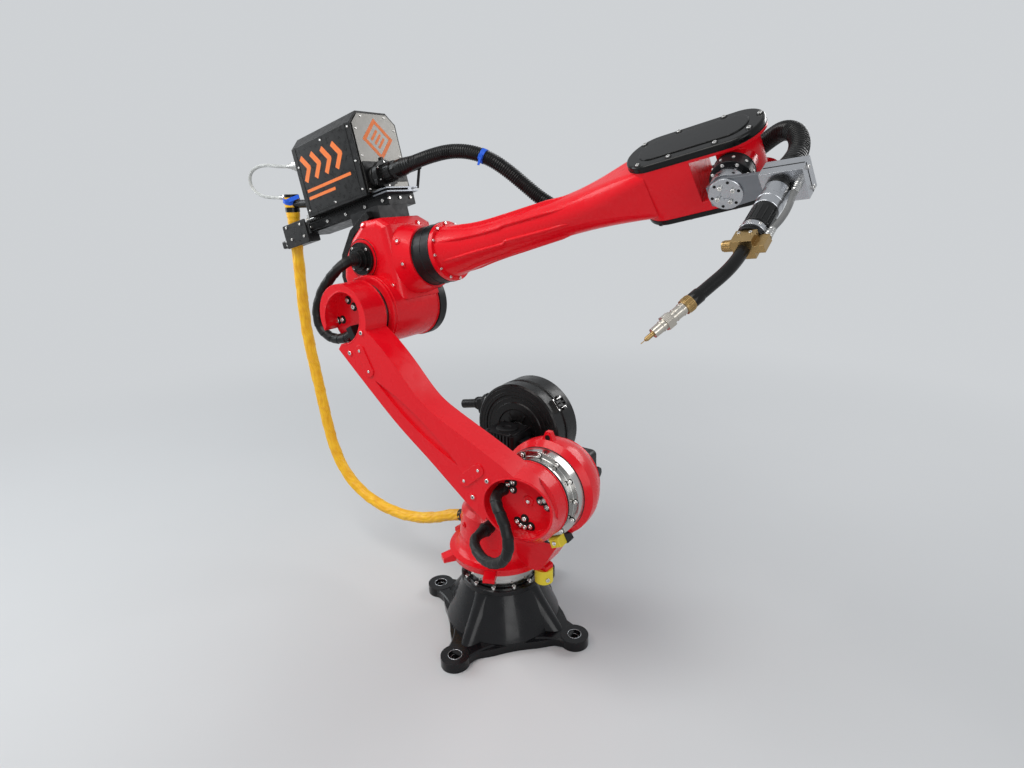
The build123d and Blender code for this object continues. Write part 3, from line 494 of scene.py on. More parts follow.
def spokes(place, normal, radius, angles):
    """Frames on a circle about a point, each with its X axis outwards."""
    return [moved(spun(facing(place, normal, east), angle), radius) for angle in angles]


def rim(place, axis, radius, angles, x_dir):
    """Frames on a circle about an axis, each facing away from it."""
    across = axis.cross(x_dir)
    outward = [x_dir * cos(radians(a)) + across * sin(radians(a)) for a in angles]
    return [facing(place + out * radius, out) for out in outward]


def surface(node):
    """The faces of a CAD node, to find points on it."""
    thing = nodes[node]
    points = [thing.matrix_world @ vertex.co for vertex in thing.data.vertices]
    return BVHTree.FromPolygons(points, [tuple(face.vertices) for face in thing.data.polygons])


# Cords


def centre_line(name):
    """Points along a cord: one spline through its route, read off finely."""
    curve = bpy.data.curves.new(name + "_line", "CURVE")
    curve.dimensions = "3D"
    curve.resolution_u = 40
    line = curve.splines.new("NURBS")
    line.points.add(len(routes[name]) - 1)
    for point, place in zip(line.points, routes[name]):
        point.co = (*place, 1)
    line.order_u = 3
    line.use_endpoint_u = True
    holder = bpy.data.objects.new(name + "_line", curve)
    mesh = bpy.data.meshes.new_from_object(holder)
    points = np.array([vertex.co for vertex in mesh.vertices], float)
    bpy.data.meshes.remove(mesh)
    bpy.data.objects.remove(holder)
    return points


def spaced(line, step, start=0.0, end=None):
    """Points at an even distance along part of a line, and their distances from its start."""
    runs = np.linalg.norm(np.diff(line, axis=0), axis=1)
    keep = np.concatenate([[True], runs > 1e-7])
    line = line[keep]
    marks = np.concatenate([[0], np.cumsum(np.linalg.norm(np.diff(line, axis=0), axis=1))])
    end = marks[-1] if end is None else end
    wanted = np.linspace(start, end, max(3, int(round((end - start) / step)) + 1))
    points = np.stack([np.interp(wanted, marks, line[:, axis]) for axis in range(3)], 1)
    return points, wanted


def tube(name, line, radius, look, sides=32, step=0.0025, start=0.0, end=None):
    """Tube along a line; radius is a function of the distance along it and the angle round it."""
    points, marks = spaced(line, step, start, end)
    heading = np.gradient(points, axis=0)
    heading = heading / np.linalg.norm(heading, axis=1)[:, None]
    across = np.cross(heading[0], (0, 0, 1) if abs(heading[0][2]) < 0.9 else (1, 0, 0))
    angles = tau * np.arange(sides) / sides
    rows = []
    for point, ahead, mark in zip(points, heading, marks):
        across = across - ahead * np.dot(across, ahead)
        across = across / np.linalg.norm(across)
        over = np.cross(ahead, across)
        reach = radius(mark - marks[0], angles)[:, None]
        rows.append(point + reach * (np.cos(angles)[:, None] * across + np.sin(angles)[:, None] * over))
    solid = Solid(name, look, sharp=50)
    solid.skin(rows)
    thing = solid.build()
    # Texture places: metres round the cord and along it
    girth = tau * float(radius(0.0, angles).mean())
    flat = []
    for low, high in zip(marks, marks[1:]):
        for number in range(sides):
            one = girth * number / sides
            two = girth * (number + 1) / sides
            flat.extend((one, low, two, low, two, high, one, high))
    flat.extend([0.0] * (4 * sides))
    thing.data.uv_layers.new(name="along").data.foreach_set("uv", flat)
    return thing


def ribbed(outer, depth, pitch):
    """Corrugated tube."""
    def radius(distance, angles):
        wave = np.tanh(2.5 * np.sin(tau * distance / pitch)) / np.tanh(2.5)
        return np.full(len(angles), outer - depth * (0.5 - 0.5 * wave))
    return radius


def wrapped(outer, pitch, crumple=0.0008):
    """Sleeve wound in a spiral, each turn lapping the last, with creases as deep as crumple."""
    def radius(distance, angles):
        turn = (distance / pitch + angles / tau) % 1.0
        folds = np.abs(np.sin(4 * angles + 38 * distance + 1.3 * np.sin(61 * distance))) ** 0.6
        slack = crumple * folds + 0.0005 * np.sin(2 * angles - 83 * distance) * np.sin(29 * distance)
        return outer - 0.0013 - crumple + 0.0013 * turn + slack
    return radius


def braided(outer, strands, pitch):
    """Two sets of strands that cross over one another."""
    def radius(distance, angles):
        one = np.cos(strands * angles + tau * distance / pitch)
        two = np.cos(strands * angles - tau * distance / pitch)
        return outer - 0.0007 + 0.0007 * np.maximum(one, two)
    return radius


def plain(outer):
    def radius(distance, angles):
        return np.full(len(angles), outer)
    return radius


def tapered(start_radius, end_radius, length, ribs=4):
    """Strain relief: a cone with grooves round it."""
    def radius(distance, angles):
        share = min(1.0, max(0.0, distance / length))
        groove = 0.0009 * max(0.0, sin(tau * ribs * share)) if 0.08 < share < 0.94 else 0.0
        return np.full(len(angles), start_radius + (end_radius - start_radius) * share - groove)
    return radius


lines = {name: centre_line(name) for name in routes}
# Each kind of cord: diameter, outline, look, points round it and step along it
kinds = {
    "sleeve": (0.038, wrapped(0.0196, 0.085, 0.002), "yellow_sleeve", 72, 0.0025),
    "harness": (0.029, wrapped(0.0151, 0.03), "hose_black", 40, 0.0012),
    "conduit": (0.038, ribbed(0.019, 0.0021, 0.0062), "conduit_black", 40, 0.00125),
    "braid": (0.011, braided(0.0055, 9, 0.026), "braid_grey", 54, 0.0011),
    "pipe": (0.011, plain(0.0055), "tube_grey", 28, 0.003),
}
# Each cord: its kind, and the body that it rides on or the two that it runs between
cords = {
    "yellow_cable_upper": ("sleeve", "elbow", "lower_arm"),
    "yellow_cable_lower": ("sleeve", "lower_arm", "turret"),
    "harness_upper": ("harness", "elbow", "lower_arm"),
    "harness_lower": ("harness", "lower_arm", "turret"),
    "conduit_rear": ("conduit", "elbow", "forearm"),
    "conduit_forearm": ("conduit", "forearm"),
    "wrist_hose_inner": ("conduit", "forearm", "wrist"),
    "wrist_hose_outer": ("conduit", "wrist", "tool"),
    "hose_loop": ("braid", "elbow"),
    "torch_tube": ("pipe", "tool"),
}
# Each strain relief: cord, 1 at its start or -1 at its end, length, wide and narrow radius, look and body
boots = {
    "cable_boot_lower": ("yellow_cable_lower", -1, 0.04, 0.0235, 0.0194, "torch_rubber", "turret"),
    "harness_boot_elbow": ("harness_upper", 1, 0.024, 0.018, 0.014, "torch_rubber", "elbow"),
    "harness_boot_cup": ("harness_upper", -1, 0.026, 0.017, 0.014, "torch_rubber", "lower_arm"),
    "harness_boot_arm": ("harness_lower", 1, 0.026, 0.0175, 0.014, "torch_rubber", "lower_arm"),
    "harness_boot_turret": ("harness_lower", -1, 0.026, 0.018, 0.014, "torch_rubber", "turret"),
    "conduit_boot": ("conduit_rear", 1, 0.034, 0.0235, 0.0194, "torch_rubber", "elbow"),
    "torch_boot": ("wrist_hose_outer", -1, 0.03, 0.0225, 0.0194, "torch_rubber", "tool"),
    "hose_ferrule_upper": ("hose_loop", 1, 0.022, 0.0085, 0.0066, "bright_steel", "elbow"),
    "hose_ferrule_lower": ("hose_loop", -1, 0.022, 0.0085, 0.0066, "bright_steel", "elbow"),
    "tube_ferrule_upper": ("torch_tube", 1, 0.022, 0.008, 0.0064, "bright_steel", "tool"),
    "tube_ferrule_lower": ("torch_tube", -1, 0.022, 0.008, 0.0064, "bright_steel", "tool"),
}


def follow(name, thing):
    """Moves a piece with its cord's body where the cord rides on one; between two bodies the piece just
    stays where it is.
    """
    bodies = cords[name][1:]
    if len(bodies) == 1:
        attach(thing, bodies[0])
    else:
        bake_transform(thing)


def add_cords():
    made = {}
    for name, (kind, *_) in cords.items():
        _, radius, look, sides, step = kinds[kind]
        made[name] = tube(name + "_run", lines[name], radius, look, sides, step)
        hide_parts(name)
        follow(name, made[name])

    # Blue tie round the conduit, with its lock and loose end
    line = lines["conduit_rear"]
    band = tube("conduit_tie", line, plain(0.0197), "blue_band", 40, 0.002, 0.252, 0.264)
    follow("conduit_rear", band)
    points, marks = spaced(line, 0.002)
    tie_at = Vector(points[int(0.258 / marks[1])])
    tie_along = (Vector(points[int(0.262 / marks[1])]) - tie_at).normalized()
    out = (front - tie_along * front.dot(tie_along)).normalized()
    knot = Solid("conduit_tie_end", "blue_band")
    knot.box(facing(tie_at + out * 0.0185, out, tie_along), (0.012, 0.014, 0.002), 0.0, 0.006, 0.001)
    knot.box(facing(tie_at + out * 0.022, out - up * 1.2, tie_along), (0.006, 0.0016), 0.0, 0.026, 0.0004)
    tie_end = knot.build()
    follow("conduit_rear", tie_end)

    # Pieces that belong to a cord; the wrist's hose is one cord in two pieces
    carried = {"conduit_rear": (band, tie_end), "wrist_hose_inner": (made.pop("wrist_hose_outer"),)}
    for name, thing in made.items():
        line = lines[name]

    sleeve_line = np.array([(-0.803, -0.01, 1.29), (-0.803, -0.01, 1.245), (-0.803, -0.01, 1.2)])
    flare = tapered(0.0252, 0.0192, 0.09, 3)
    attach(tube("cable_sleeve_end", sleeve_line, flare, "yellow_sleeve", 48, 0.0015), "elbow")
    for name, (cord, way, length, wide, narrow, look, body) in boots.items():
        boot = tube(name, lines[cord][::way], tapered(wide, narrow, length), look, 32, 0.001, 0.0, length)
        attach(boot, body)


# Base


def add_base():
    angles = (-120, -96, -67, -37, -10, 18, 46, 74, 102, 130, 158, -174, -147)
    bolts = Solid("flange_bolts", "zinc", "base")
    bolts.screws(around((0, 0, 0.174), up, 0.1155, angles), 0.0062, 0.0085)
    seals = Solid("ring_seals", "torch_rubber", "base")
    for height in (0.1765, 0.2395):
        seals.hoop(facing((0, 0, height), up), 0.1058, 0.0016, 96, 1.6)

    # Cone with a web that runs out to each foot
    foot_turn = 2
    top = 0.157
    drop = 0.1325
    rows = []
    for step in range(27):
        height = 0.0245 + drop * step / 26
        fall = (top - height) / drop
        reach = 0.121 + 0.095 * fall ** 1.15
        bell = 0.106 + 0.046 * fall ** 1.3
        row = []
        for number in range(160):
            angle = tau * number / 160
            away = abs((angle - radians(foot_turn) + pi / 4) % (pi / 2) - pi / 4)
            share = np.exp(-(away / (0.2 + 0.05 * (1 - fall))) ** 2)
            far = bell + (reach - bell) * share
            row.append((far * cos(angle), far * sin(angle), height))
        rows.append(row)
    Solid("base_ridges", "black_paint", "base", 60).skin(rows)

    # Feet: turned rings round the anchor holes and flared lobes
    faces = Solid("foot_faces", "alloy", "base")
    lobes = Solid("foot_lobes", "black_paint", "base")
    flare = [(0.13 + 0.116 * step / 10, 0.039 + 0.06 * (1 - step / 10) ** 1.7) for step in range(11)]
    outline = [(x, -half) for x, half in flare] + [(x, half) for x, half in reversed(flare)]
    for angle in turns(4, foot_turn):
        out = polar(angle)
        faces.hoop(facing(out * 0.253 + up * 0.03, up), 0.0198, 0.0009, 48)
        faces.hoop(facing(out * 0.253 + up * 0.0212, up), 0.0118, 0.0008, 36)
        lobes.prism(facing((0, 0, 0), up, out), outline, 0.003, 0.029, 0.004)

    # Connector box: plates, bare sockets and screws
    out = polar(137)
    across = up.cross(out)
    plate = Solid("connector_plate", "motor_black", "base")
    plate.box(facing(out * 0.17 + up * 0.174, out, across), (0.196, 0.026, 0.003), 0.0, 0.003, 0.0008)
    plate.box(facing(out * 0.146 + up * 0.19, up, across), (0.19, 0.04, 0.003), 0.0, 0.0012, 0.0004)
    plugs = Solid("connector_shells", "bright_steel", "base")
    for shift in (-0.066, -0.024, 0.02, 0.062):
        plugs.turned(facing(out * 0.173 + across * shift + up * 0.174, out),
                     [(0.0115, 0.0), (0.0115, 0.004), (0.0095, 0.0045), (0.0095, 0.012), (0.0075, 0.0125),
                      (0.007, 0.006)])
    screws = Solid("connector_screws", "zinc", "base")
    for shift in (-0.088, -0.03, 0.03, 0.088):
        for reach in (0.132, 0.16):
            screws.pan(facing(out * reach + across * shift + up * 0.1912, up), 0.0032, 0.001)


# Turret


def add_turret():
    rims = Solid("ear_rims", "red_paint", "turret")
    # The black discs in the ear holes are painted shade
    ear_shade = Solid("ear_hole_shade", "pit_black", "turret")
    for depth, normal in ((0.066, front), (0.05, side)):
        place = facing(shoulder + up * 0.142 + front * depth, normal)
        rims.turned(place, [(0.0115, -0.001), (0.0115, 0.0012), (0.0085, 0.0016), (0.0078, 0.0006)])
        ear_shade.turned(place, [(0.0078, -0.001), (0.0078, 0.0008), (0.004, 0.0009)])

    # The first of the six tabs carries the stop block and has no hole
    tab_turn = -6
    tabs = Solid("tab_rims", "red_paint", "turret")
    hole_shade = Solid("tab_hole_shade", "pit_black", "turret")
    # The black discs in the tab holes are painted shade
    for angle in turns(6, tab_turn)[1:]:
        out = polar(angle)
        place = facing(out * 0.172 + up * 0.2585, out * 0.25 + up)
        hole_shade.turned(place, [(0.006, -0.003), (0.006, 0.0012), (0.003, 0.0013)])
        tabs.turned(place, [(0.0095, -0.003), (0.009, 0.0008), (0.0062, 0.0012), (0.006, 0.0)])
    stop = Solid("stop_bolt", "zinc", "turret")
    stop_c = polar(tab_turn) * 0.165
    out = Vector((0.81, -0.59, 0)).normalized()
    stop.screw(facing(stop_c + out * 0.0262 + up * 0.216, out), 0.0065, 0.006)
    stop.screw(facing(stop_c + up * 0.1965, -up), 0.008, 0.001)

    # The black wells round the J2 bolts are painted shade of their counterbores
    well_shade = Solid("j2_well_shade", "pit_black", "turret")
    bolts = Solid("j2_bolts", "zinc", "turret")
    for place in around(shoulder + front * 0.114, front, 0.1125, turns(13, 115)):
        well_shade.turned(place, [(0.0075, -0.022), (0.0075, 0.0004), (0.007, 0.0006)])
        bolts.screw(place, 0.006, 0.0055)
    seals = Solid("j2_seals", "torch_rubber", "turret")
    for depth, radius in ((0.0855, 0.12), (0.1382, 0.1045)):
        seals.hoop(facing(shoulder + front * depth, front), radius, 0.0014, 96, 1.5)
    limits = Solid("limit_bolts", "zinc", "turret")
    limits.screws(around(shoulder + front * 0.096, front, 0.1385, (-104, -90, -80)), 0.0058, 0.006)
    limits.screws(around(shoulder + front * 0.126, front, 0.135, (-66,)), 0.0058, 0.003)

    nut = Solid("inlet_nut", "bright_steel", "turret")
    nut.turned(facing((-0.146, 0.033, 0.296), (1, 0, 0.2)),
               [(0.0262, 0.002, 6), (0.027, 0.004, 6), (0.027, 0.014, 6), (0.0262, 0.016, 6)])
    collar = Solid("harness_nut", "motor_black", "turret")
    collar.turned(facing((0.038, -0.132, 0.38), side),
                  [(0.0205, 0.0, 8), (0.0212, 0.002, 8), (0.0212, 0.01, 8), (0.0205, 0.012, 8)])
    lids = Solid("column_bolts", "zinc", "turret")
    for x, y in ((0.052, -0.062), (-0.086, -0.03), (0.088, 0.02)):
        lids.screw(facing((x, y, 0.4025), up), 0.006, 0.006)
    bosses = Solid("column_bosses", "red_paint", "turret")
    for angle, height in ((-150, 0.35), (-118, 0.356), (-42, 0.362)):
        out = polar(angle)
        bosses.turned(facing(out * 0.121 + up * height, out),
                      [(0.0085, -0.006), (0.0085, 0.0012), (0.0062, 0.002), (0.0048, 0.0016),
                       (0.0044, -0.001)])


def add_turned_skins():
    """Fine turned faces over the bearing rings and the shoulder dish."""
    ring = Solid("j1_ring_face", "bright_steel", "base")
    ring.turned(Matrix.Translation((0, 0, 0.174)),
                [(0.1061, 0.0008), (0.1062, 0.0012), (0.1062, 0.024), (0.1054, 0.0246), (0.1054, 0.0262),
                 (0.1062, 0.0268), (0.1062, 0.0672), (0.1061, 0.0676)], 192)
    place = facing(shoulder + front * 0.084, front)
    ring = Solid("j2_ring_face", "bright_steel", "turret")
    ring.turned(place, [(0.119, 0.0006), (0.1202, 0.001), (0.1202, 0.028), (0.1184, 0.0301),
                        (0.1062, 0.0302), (0.1053, 0.031), (0.1053, 0.055), (0.104, 0.0556)], 192)
    # The dish: a cone, then a parabola through three points of its back, given as radius and depth
    first = np.array((0.136, 0.034))
    middle = np.array((0.126, 0.074))
    last = np.array((0.104, 0.104))
    rows = [(0.1185, 0.0001), (0.1204, 0.0001), (0.1362, -0.016), (0.1362, -0.034)]
    for step in range(1, 13):
        share = step / 12
        reach, depth = (2 * (share - 0.5) * (share - 1) * first + 4 * share * (1 - share) * middle
                        + 2 * share * (share - 0.5) * last)
        rows.append((reach + 0.0006, -depth))
    dish = Solid("shoulder_face", "red_paint", "turret", 40)
    dish.turned(place, rows, 192)
    # Its ends stay open, and its faces look outwards
    dish.faces = [face[::-1] for face in dish.faces if len(face) == 4]


# Motors and wire drum


def add_motors():
    top = Vector((-0.02, 0.076, 0.6065))
    lid = Solid("j1_motor_lid", "motor_black", "turret")
    lid.box(facing(top, up, east), (0.098, 0.098, 0.014), -0.001, 0.003, 0.001)
    lid.turned(facing(top, up),
               [(0.034, 0.0), (0.034, 0.006), (0.031, 0.0075), (0.012, 0.0075), (0.01, 0.006)], 48)
    lid.box(facing(top + Vector((0.055, 0.0, -0.045)), east, side), (0.044, 0.05, 0.004), 0.0, 0.016, 0.002)
    collars = Solid("j1_motor_collars", "motor_black", "turret")
    collars.box(facing((-0.02, 0.076, 0.5), up, east), (0.1125, 0.1125, 0.014), 0.0, 0.01, 0.002)
    collars.box(facing((-0.02, 0.076, 0.4025), up, east), (0.118, 0.118, 0.012), 0.0, 0.012, 0.002)
    screws = Solid("j1_motor_screws", "oxide", "turret")
    rear = Solid("j2_motor_screws", "zinc", "turret")
    for x in (-1, 1):
        for y in (-1, 1):
            screws.screw(facing(top + Vector((0.041 * x, 0.041 * y, 0.003)), up), 0.0042, 0.004)
            screws.screw(facing((-0.02 + 0.0492 * x, 0.076 + 0.0492 * y, 0.4145), up), 0.0055, 0.006)
            rear.screw(facing(shoulder + Vector((0.042 * x, 0.112, 0.042 * y)), side), 0.0045, 0.005)
    for height in (-0.061, -0.029):
        screws.pan(facing(top + Vector((0.071, 0.016, height)), east), 0.0028, 0.002)
    plug = Solid("j1_motor_plug", "bright_steel", "turret")
    plug.turned(facing(top + Vector((0.071, -0.004, -0.045)), east),
                [(0.0135, 0.0), (0.0135, 0.004), (0.0115, 0.005), (0.0115, 0.02), (0.01, 0.022),
                 (0.006, 0.022)], 30)

    rings = Solid("j2_plug_rings", "motor_black", "turret")
    for depth in (0.048, 0.084):
        rings.turned(facing((0.263, depth, 0.534), east),
                     [(0.0165, 0.002), (0.0172, 0.003), (0.0172, 0.007), (0.0165, 0.008)], 36)
        for knurl in around((0.276, depth, 0.534), east, 0.015, turns(16), side):
            rings.box(knurl, (0.0022, 0.0022), -0.006, 0.008, 0.0004)
    back = Solid("j2_motor_lid", "motor_black", "turret")
    place = shoulder + side * 0.124
    back.turned(facing(place, side), [(0.042, -0.001), (0.042, 0.0012), (0.038, 0.002), (0.014, 0.002),
                                      (0.012, 0.001)], 48)
    for corner in around(place, side, 0.043, turns(4, 45)):
        back.pan(corner, 0.003, 0.002)


def add_drum():
    ridges = Solid("drum_ridges", "drum_plastic", "turret")
    for radius, depth in ((0.086, 0.003), (0.106, 0.003), (0.126, 0.0), (0.138, 0.0)):
        ridges.hoop(facing(drum_c + side * depth, front), radius, 0.0016, 96, 0.8)
    hub = Solid("drum_hub", "drum_plastic", "turret")
    hub.turned(facing(drum_c + side * 0.012, front),
               [(0.028, -0.001), (0.028, 0.003), (0.025, 0.005), (0.012, 0.005), (0.01, 0.012),
                (0.007, 0.013)], 48)
    for spoke in spokes(drum_c + side * 0.003, front, 0.05, turns(6)):
        hub.box(spoke, (0.026, 0.005, 0.002), -0.001, 0.0026, 0.0008)
    band = Solid("drum_band", "drum_plastic", "turret")
    for depth in (0.044, 0.0605):
        band.hoop(facing(drum_c + side * depth, front), 0.1493, 0.0014, 120, 1.2)

    levers = Solid("latch_levers", "drum_plastic", "turret")
    pins = Solid("latch_pins", "oxide", "turret")
    for angle in (38, 158, 278):
        out = Vector((cos(radians(angle)), 0, sin(radians(angle))))
        across = front.cross(out)
        lever = facing(drum_c + side * 0.05 + out * 0.161, out, side)
        levers.box(lever, (0.036, 0.022, 0.004), -0.001, 0.0035, 0.001)
        levers.box(moved(lever, 0.02, 0, 0.002), (0.01, 0.026, 0.002), 0.0, 0.007, 0.001)
        for shift in (-0.012, 0.0, 0.012):
            levers.box(moved(lever, 0.002, shift, 0.003), (0.026, 0.004, 0.001), 0.0, 0.006, 0.001)
        for shift in (-0.02, 0.02):
            levers.box(moved(lever, 0, shift), (0.012, 0.008, 0.001), -0.002, 0.009, 0.001)
        for shift in (-0.014, 0.014):
            pins.screw(moved(lever, -0.01, shift, 0.001), 0.0026, 0.003)
        hinge = facing(drum_c + side * 0.036 + out * 0.1615 - across * 0.016, across)
        pins.turned(hinge, [(0.0028, 0.0), (0.0028, 0.032)], 16)

    outlet = Solid("drum_outlet", "drum_plastic", "turret")
    start = Vector((-0.17, 0.2, 0.628))
    reach = Vector((-0.286, 0.2, 0.604)) - start
    outlet.turned(facing(start, reach),
                  [(0.03, 0.0), (0.03, 0.02), (0.022, 0.024), (0.02, 0.06), (0.015, 0.064),
                   (0.015, reach.length), (0.009, reach.length + 0.002)], 40)
    for share in (0.3, 0.38, 0.46):
        outlet.hoop(facing(start + reach * share, reach), 0.0205, 0.0016, 40)
    foot = facing(start + Vector((-0.006, -0.02, -0.006)), front, reach)
    outlet.box(foot, (0.07, 0.05, 0.006), -0.004, 0.004, 0.001)
    bolts = Solid("bracket_bolts", "zinc", "turret")
    back = Solid("drum_back_boss", "drum_plastic", "turret")
    for x in (-0.058, -0.002):
        bolts.hex_bolt(facing((x, 0.274, 0.6), side), 0.0065, 0.007)
        bolts.hex_bolt(facing((x, 0.274, 0.47), side), 0.0065, 0.007)
        bolts.hex_bolt(facing((x, 0.22, 0.3745), up), 0.0055, 0.006)
    for x in (-0.098, 0.038):
        back.box(facing((x, 0.16, 0.449), up, east), (0.02, 0.03, 0.003), -0.03, -0.008, 0.002)
    back.turned(facing(drum_c + side * 0.1215, side), [(0.06, -0.001), (0.06, 0.003), (0.054, 0.005),
                                                       (0.02, 0.005)], 60)


# Lower arm


def on_arm(a, b, depth):
    """Point at a distance up the arm, towards its underside and along Y."""
    return shoulder + arm_dir * a + arm_under * b + side * depth


def add_lower_arm():
    screws = Solid("arm_screws", "zinc", "lower_arm")
    rims = Solid("arm_screw_bosses", "red_paint", "lower_arm")
    for a, b, angle in ((0.142, 0.02, 79), (0.579, 0.043, 157)):
        for shift in (-0.031, 0.031):
            reach = polar(angle) * shift
            screws.screw(facing(on_arm(a + reach.x, b + reach.y, -0.239), front), 0.004, 0.0022)
    for x, z in ((-0.3277, 0.8754), (-0.2751, 0.938), (0.1351, 0.6031), (0.0877, 0.5455)):
        place = facing((x, -0.236, z), front)
        screws.screw(place, 0.0058, 0.003)
        rims.turned(place, [(0.0105, -0.001), (0.0102, 0.0008), (0.009, 0.0012)])

    # Screws on the floors of the cups, each on a black disc of painted shade, and the lower cup's boss
    bed_shade = Solid("cup_bed_shade", "pit_black", "lower_arm")
    heads = Solid("cup_screws", "zinc", "lower_arm")
    for x, z in ((0.1571, 0.5676), (0.1679, 0.584), (0.1827, 0.5931), (0.1821, 0.5731), (0.2639, 0.5624),
                 (0.2761, 0.5683), (0.2844, 0.552), (0.2168, 0.5), (0.2055, 0.479), (0.218, 0.477),
                 (0.2347, 0.4832), (0.1947, 0.4868), (-0.367, 1.0133), (-0.3449, 0.9964), (-0.4168, 0.9503),
                 (-0.3966, 0.9549)):
        bed = facing((x, -0.19, z), front)
        bed_shade.turned(bed, [(0.0125, -0.001), (0.0122, 0.0007), (0.008, 0.0009)])
        heads.screw(moved(bed, 0, 0, 0.0005), 0.0068, 0.0055)
    place = facing((0.229, -0.19, 0.5529), front)
    boss = Solid("cup_boss", "red_paint", "lower_arm")
    boss.turned(place, [(0.015, -0.001), (0.0142, 0.003), (0.013, 0.004), (0.009, 0.004),
                        (0.0085, 0.0025)], 36)
    Solid("cup_centre_bolt", "zinc", "lower_arm").screw(moved(place, 0, 0, 0.002), 0.005, 0.004)

    # Lips of the two mouths: centre, half sizes, turn, and half the angle that the upper one leaves open
    lips = Solid("mouth_lips", "red_paint", "lower_arm")
    for a, b, half_a, half_b, turn, gap in ((0, -0.019, 0.1, 0.078, 51, 0),
                                            (0.708, 0.004, 0.066, 0.078, 0, 33)):
        spin = Matrix.Rotation(radians(turn), 2)
        rows = []
        for number in range(96):
            angle = tau * number / 96
            if abs((angle - radians(90.4) + pi) % tau - pi) < radians(gap):
                continue
            middle = spin @ Vector((half_a * cos(angle), half_b * sin(angle)))
            outward = spin @ Vector((cos(angle) / half_a, sin(angle) / half_b)).normalized()
            row = []
            for bend in (tau * step / 8 for step in reversed(range(8))):
                place = middle + outward * (0.0016 + 0.0026 * cos(bend))
                row.append(on_arm(a + place.x, b + place.y, -0.2352 - 0.0016 * sin(bend)))
            rows.append(row)
        if gap:
            start = max(range(len(rows)), key=lambda n: (rows[n][0] - rows[n - 1][0]).length)
            rows = rows[start:] + rows[:start]
        lips.skin(rows, closed=not gap)

    back = Solid("arm_back_lips", "red_paint", "lower_arm")
    back.hoop(facing(shoulder + front * 0.144, front), 0.1045, 0.0014, 96, 1.5)
    back.hoop(facing(elbow_c + front * 0.16, front), 0.092, 0.0014, 96, 1.5)
    caps = Solid("arm_back_caps", "torch_rubber", "lower_arm")
    for a, b in ((0.2, -0.02), (0.52, 0.02), (0.36, 0.03)):
        caps.turned(facing(on_arm(a, b, -0.159), side),
                    [(0.013, -0.001), (0.013, 0.001), (0.011, 0.002), (0.005, 0.002)], 32)


# Elbow


def add_elbow():
    rims = Solid("barrel_rims", "red_paint", "elbow")
    for depth in (-0.136, -0.124, 0.052):
        rims.hoop(facing(elbow_c + side * depth, front), 0.1003, 0.0022, 96, 0.9)
    seal = Solid("elbow_seal", "torch_rubber", "elbow")
    seal.hoop(facing(elbow_c + front * 0.1415, front), 0.0815, 0.0015, 96, 1.5)

    # Bosses stand on the housing where it is nearest to each place; the second point says which way is out
    bosses = Solid("elbow_bosses", "red_paint", "elbow")
    sockets = Solid("elbow_screws", "zinc", "elbow")
    skin = surface("elbow_housing")
    for place, outward in (((-0.3834, -0.0945, 1.2123), (-0.05, -0.55, 0.8)),
                           ((-0.37, 0.07, 1.22), (-0.05, 0.25, 0.95)),
                           ((-0.2934, 0.0369, 1.2115), (0.6, 0.0, 0.8)),
                           ((-0.2425, -0.09, 1.1084), (0, -1, 0)),
                           ((-0.265, -0.096, 1.176), (0.1, -0.95, 0.2)),
                           ((-0.3, -0.098, 1.023), (0, -1, 0))):
        found, normal, _, _ = skin.find_nearest(Vector(place))
        if normal.dot(Vector(outward)) <= 0:
            normal = Vector(outward)
        bosses.turned(facing(found, normal),
                      [(0.01, -0.004), (0.0095, 0.0022), (0.008, 0.003), (0.0052, 0.003), (0.0048, 0.0005)])
        sockets.screw(facing(found, normal), 0.0046, 0.0032)

    gland = Solid("gland_screws", "zinc", "elbow")
    gland.screws(around(gland_c + front * 0.112, front, 0.0395, turns(4, 45)), 0.0042, 0.004)
    rings = Solid("gland_rings", "torch_rubber", "elbow")
    for depth, radius in ((0.1035, 0.0555), (0.1125, 0.0455), (0.1215, 0.0325), (0.132, 0.0236)):
        rings.hoop(facing(gland_c + front * depth, front), radius, 0.0012, 72, 0.8)

    centre = elbow_c + side * 0.091
    cap = Solid("j3_cap_ribs", "cover_plastic", "elbow")
    cap.turned(facing(centre, side), [(0.078, -0.001), (0.078, 0.002), (0.074, 0.004), (0.03, 0.004),
                                      (0.026, 0.002)], 72)
    for rib in spokes(centre, side, 0.053, turns(8, 22.5)):
        cap.box(rib, (0.036, 0.006, 0.002), 0.003, 0.0065, 0.001)
    bolts = Solid("j3_cap_bolts", "zinc", "elbow")
    bolts.screws(around(centre, side, 0.0865, turns(6)), 0.005, 0.005)

    # Black guard behind the elbow's back, through places along and above the roll axis
    places = ((0.03, 0.15), (-0.052, 0.116), (-0.11, 0.058), (-0.131, 0.002), (-0.128, -0.052),
              (-0.095, -0.1))
    points = [roll_c + along * ahead + rise * high for ahead, high in places]
    rows = []
    for number, point in enumerate(points):
        before = points[max(0, number - 1)]
        after = points[min(len(points) - 1, number + 1)]
        out = side.cross(after - before).normalized()
        if out.dot(point - roll_c) < 0:
            out = -out
        outer = point + out * 0.012
        inner = point - out * 0.008
        rows.append([outer - side * 0.08, outer + side * 0.06, inner + side * 0.06, inner - side * 0.08])
    Solid("elbow_guard", "torch_rubber", "elbow", 50).skin(rows)

    flange = Solid("forearm_flange_bolts", "zinc", "forearm")
    flange.screws(around(roll_c + along * 0.2395, along, 0.0772, turns(12, 4), side), 0.0042, 0.0045)
    grooves = Solid("j4_ring_lips", "black_paint", "elbow")
    for distance in (0.1625, 0.193, 0.2235):
        grooves.hoop(facing(roll_c + along * distance, along), 0.0824, 0.0013, 96, 1.4)


# Wire feeder


def on_feeder(across, high, ahead=0.0):
    """Point measured from the front's lower corner: along Y, up the front and forwards."""
    return feeder_corner + side * across + feed_up * high + feed_along * ahead


def on_side(normal, across, high, ahead):
    """Frame at a point of the feeder, with its X axis forwards."""
    return facing(on_feeder(across, high, ahead), normal, feed_along)


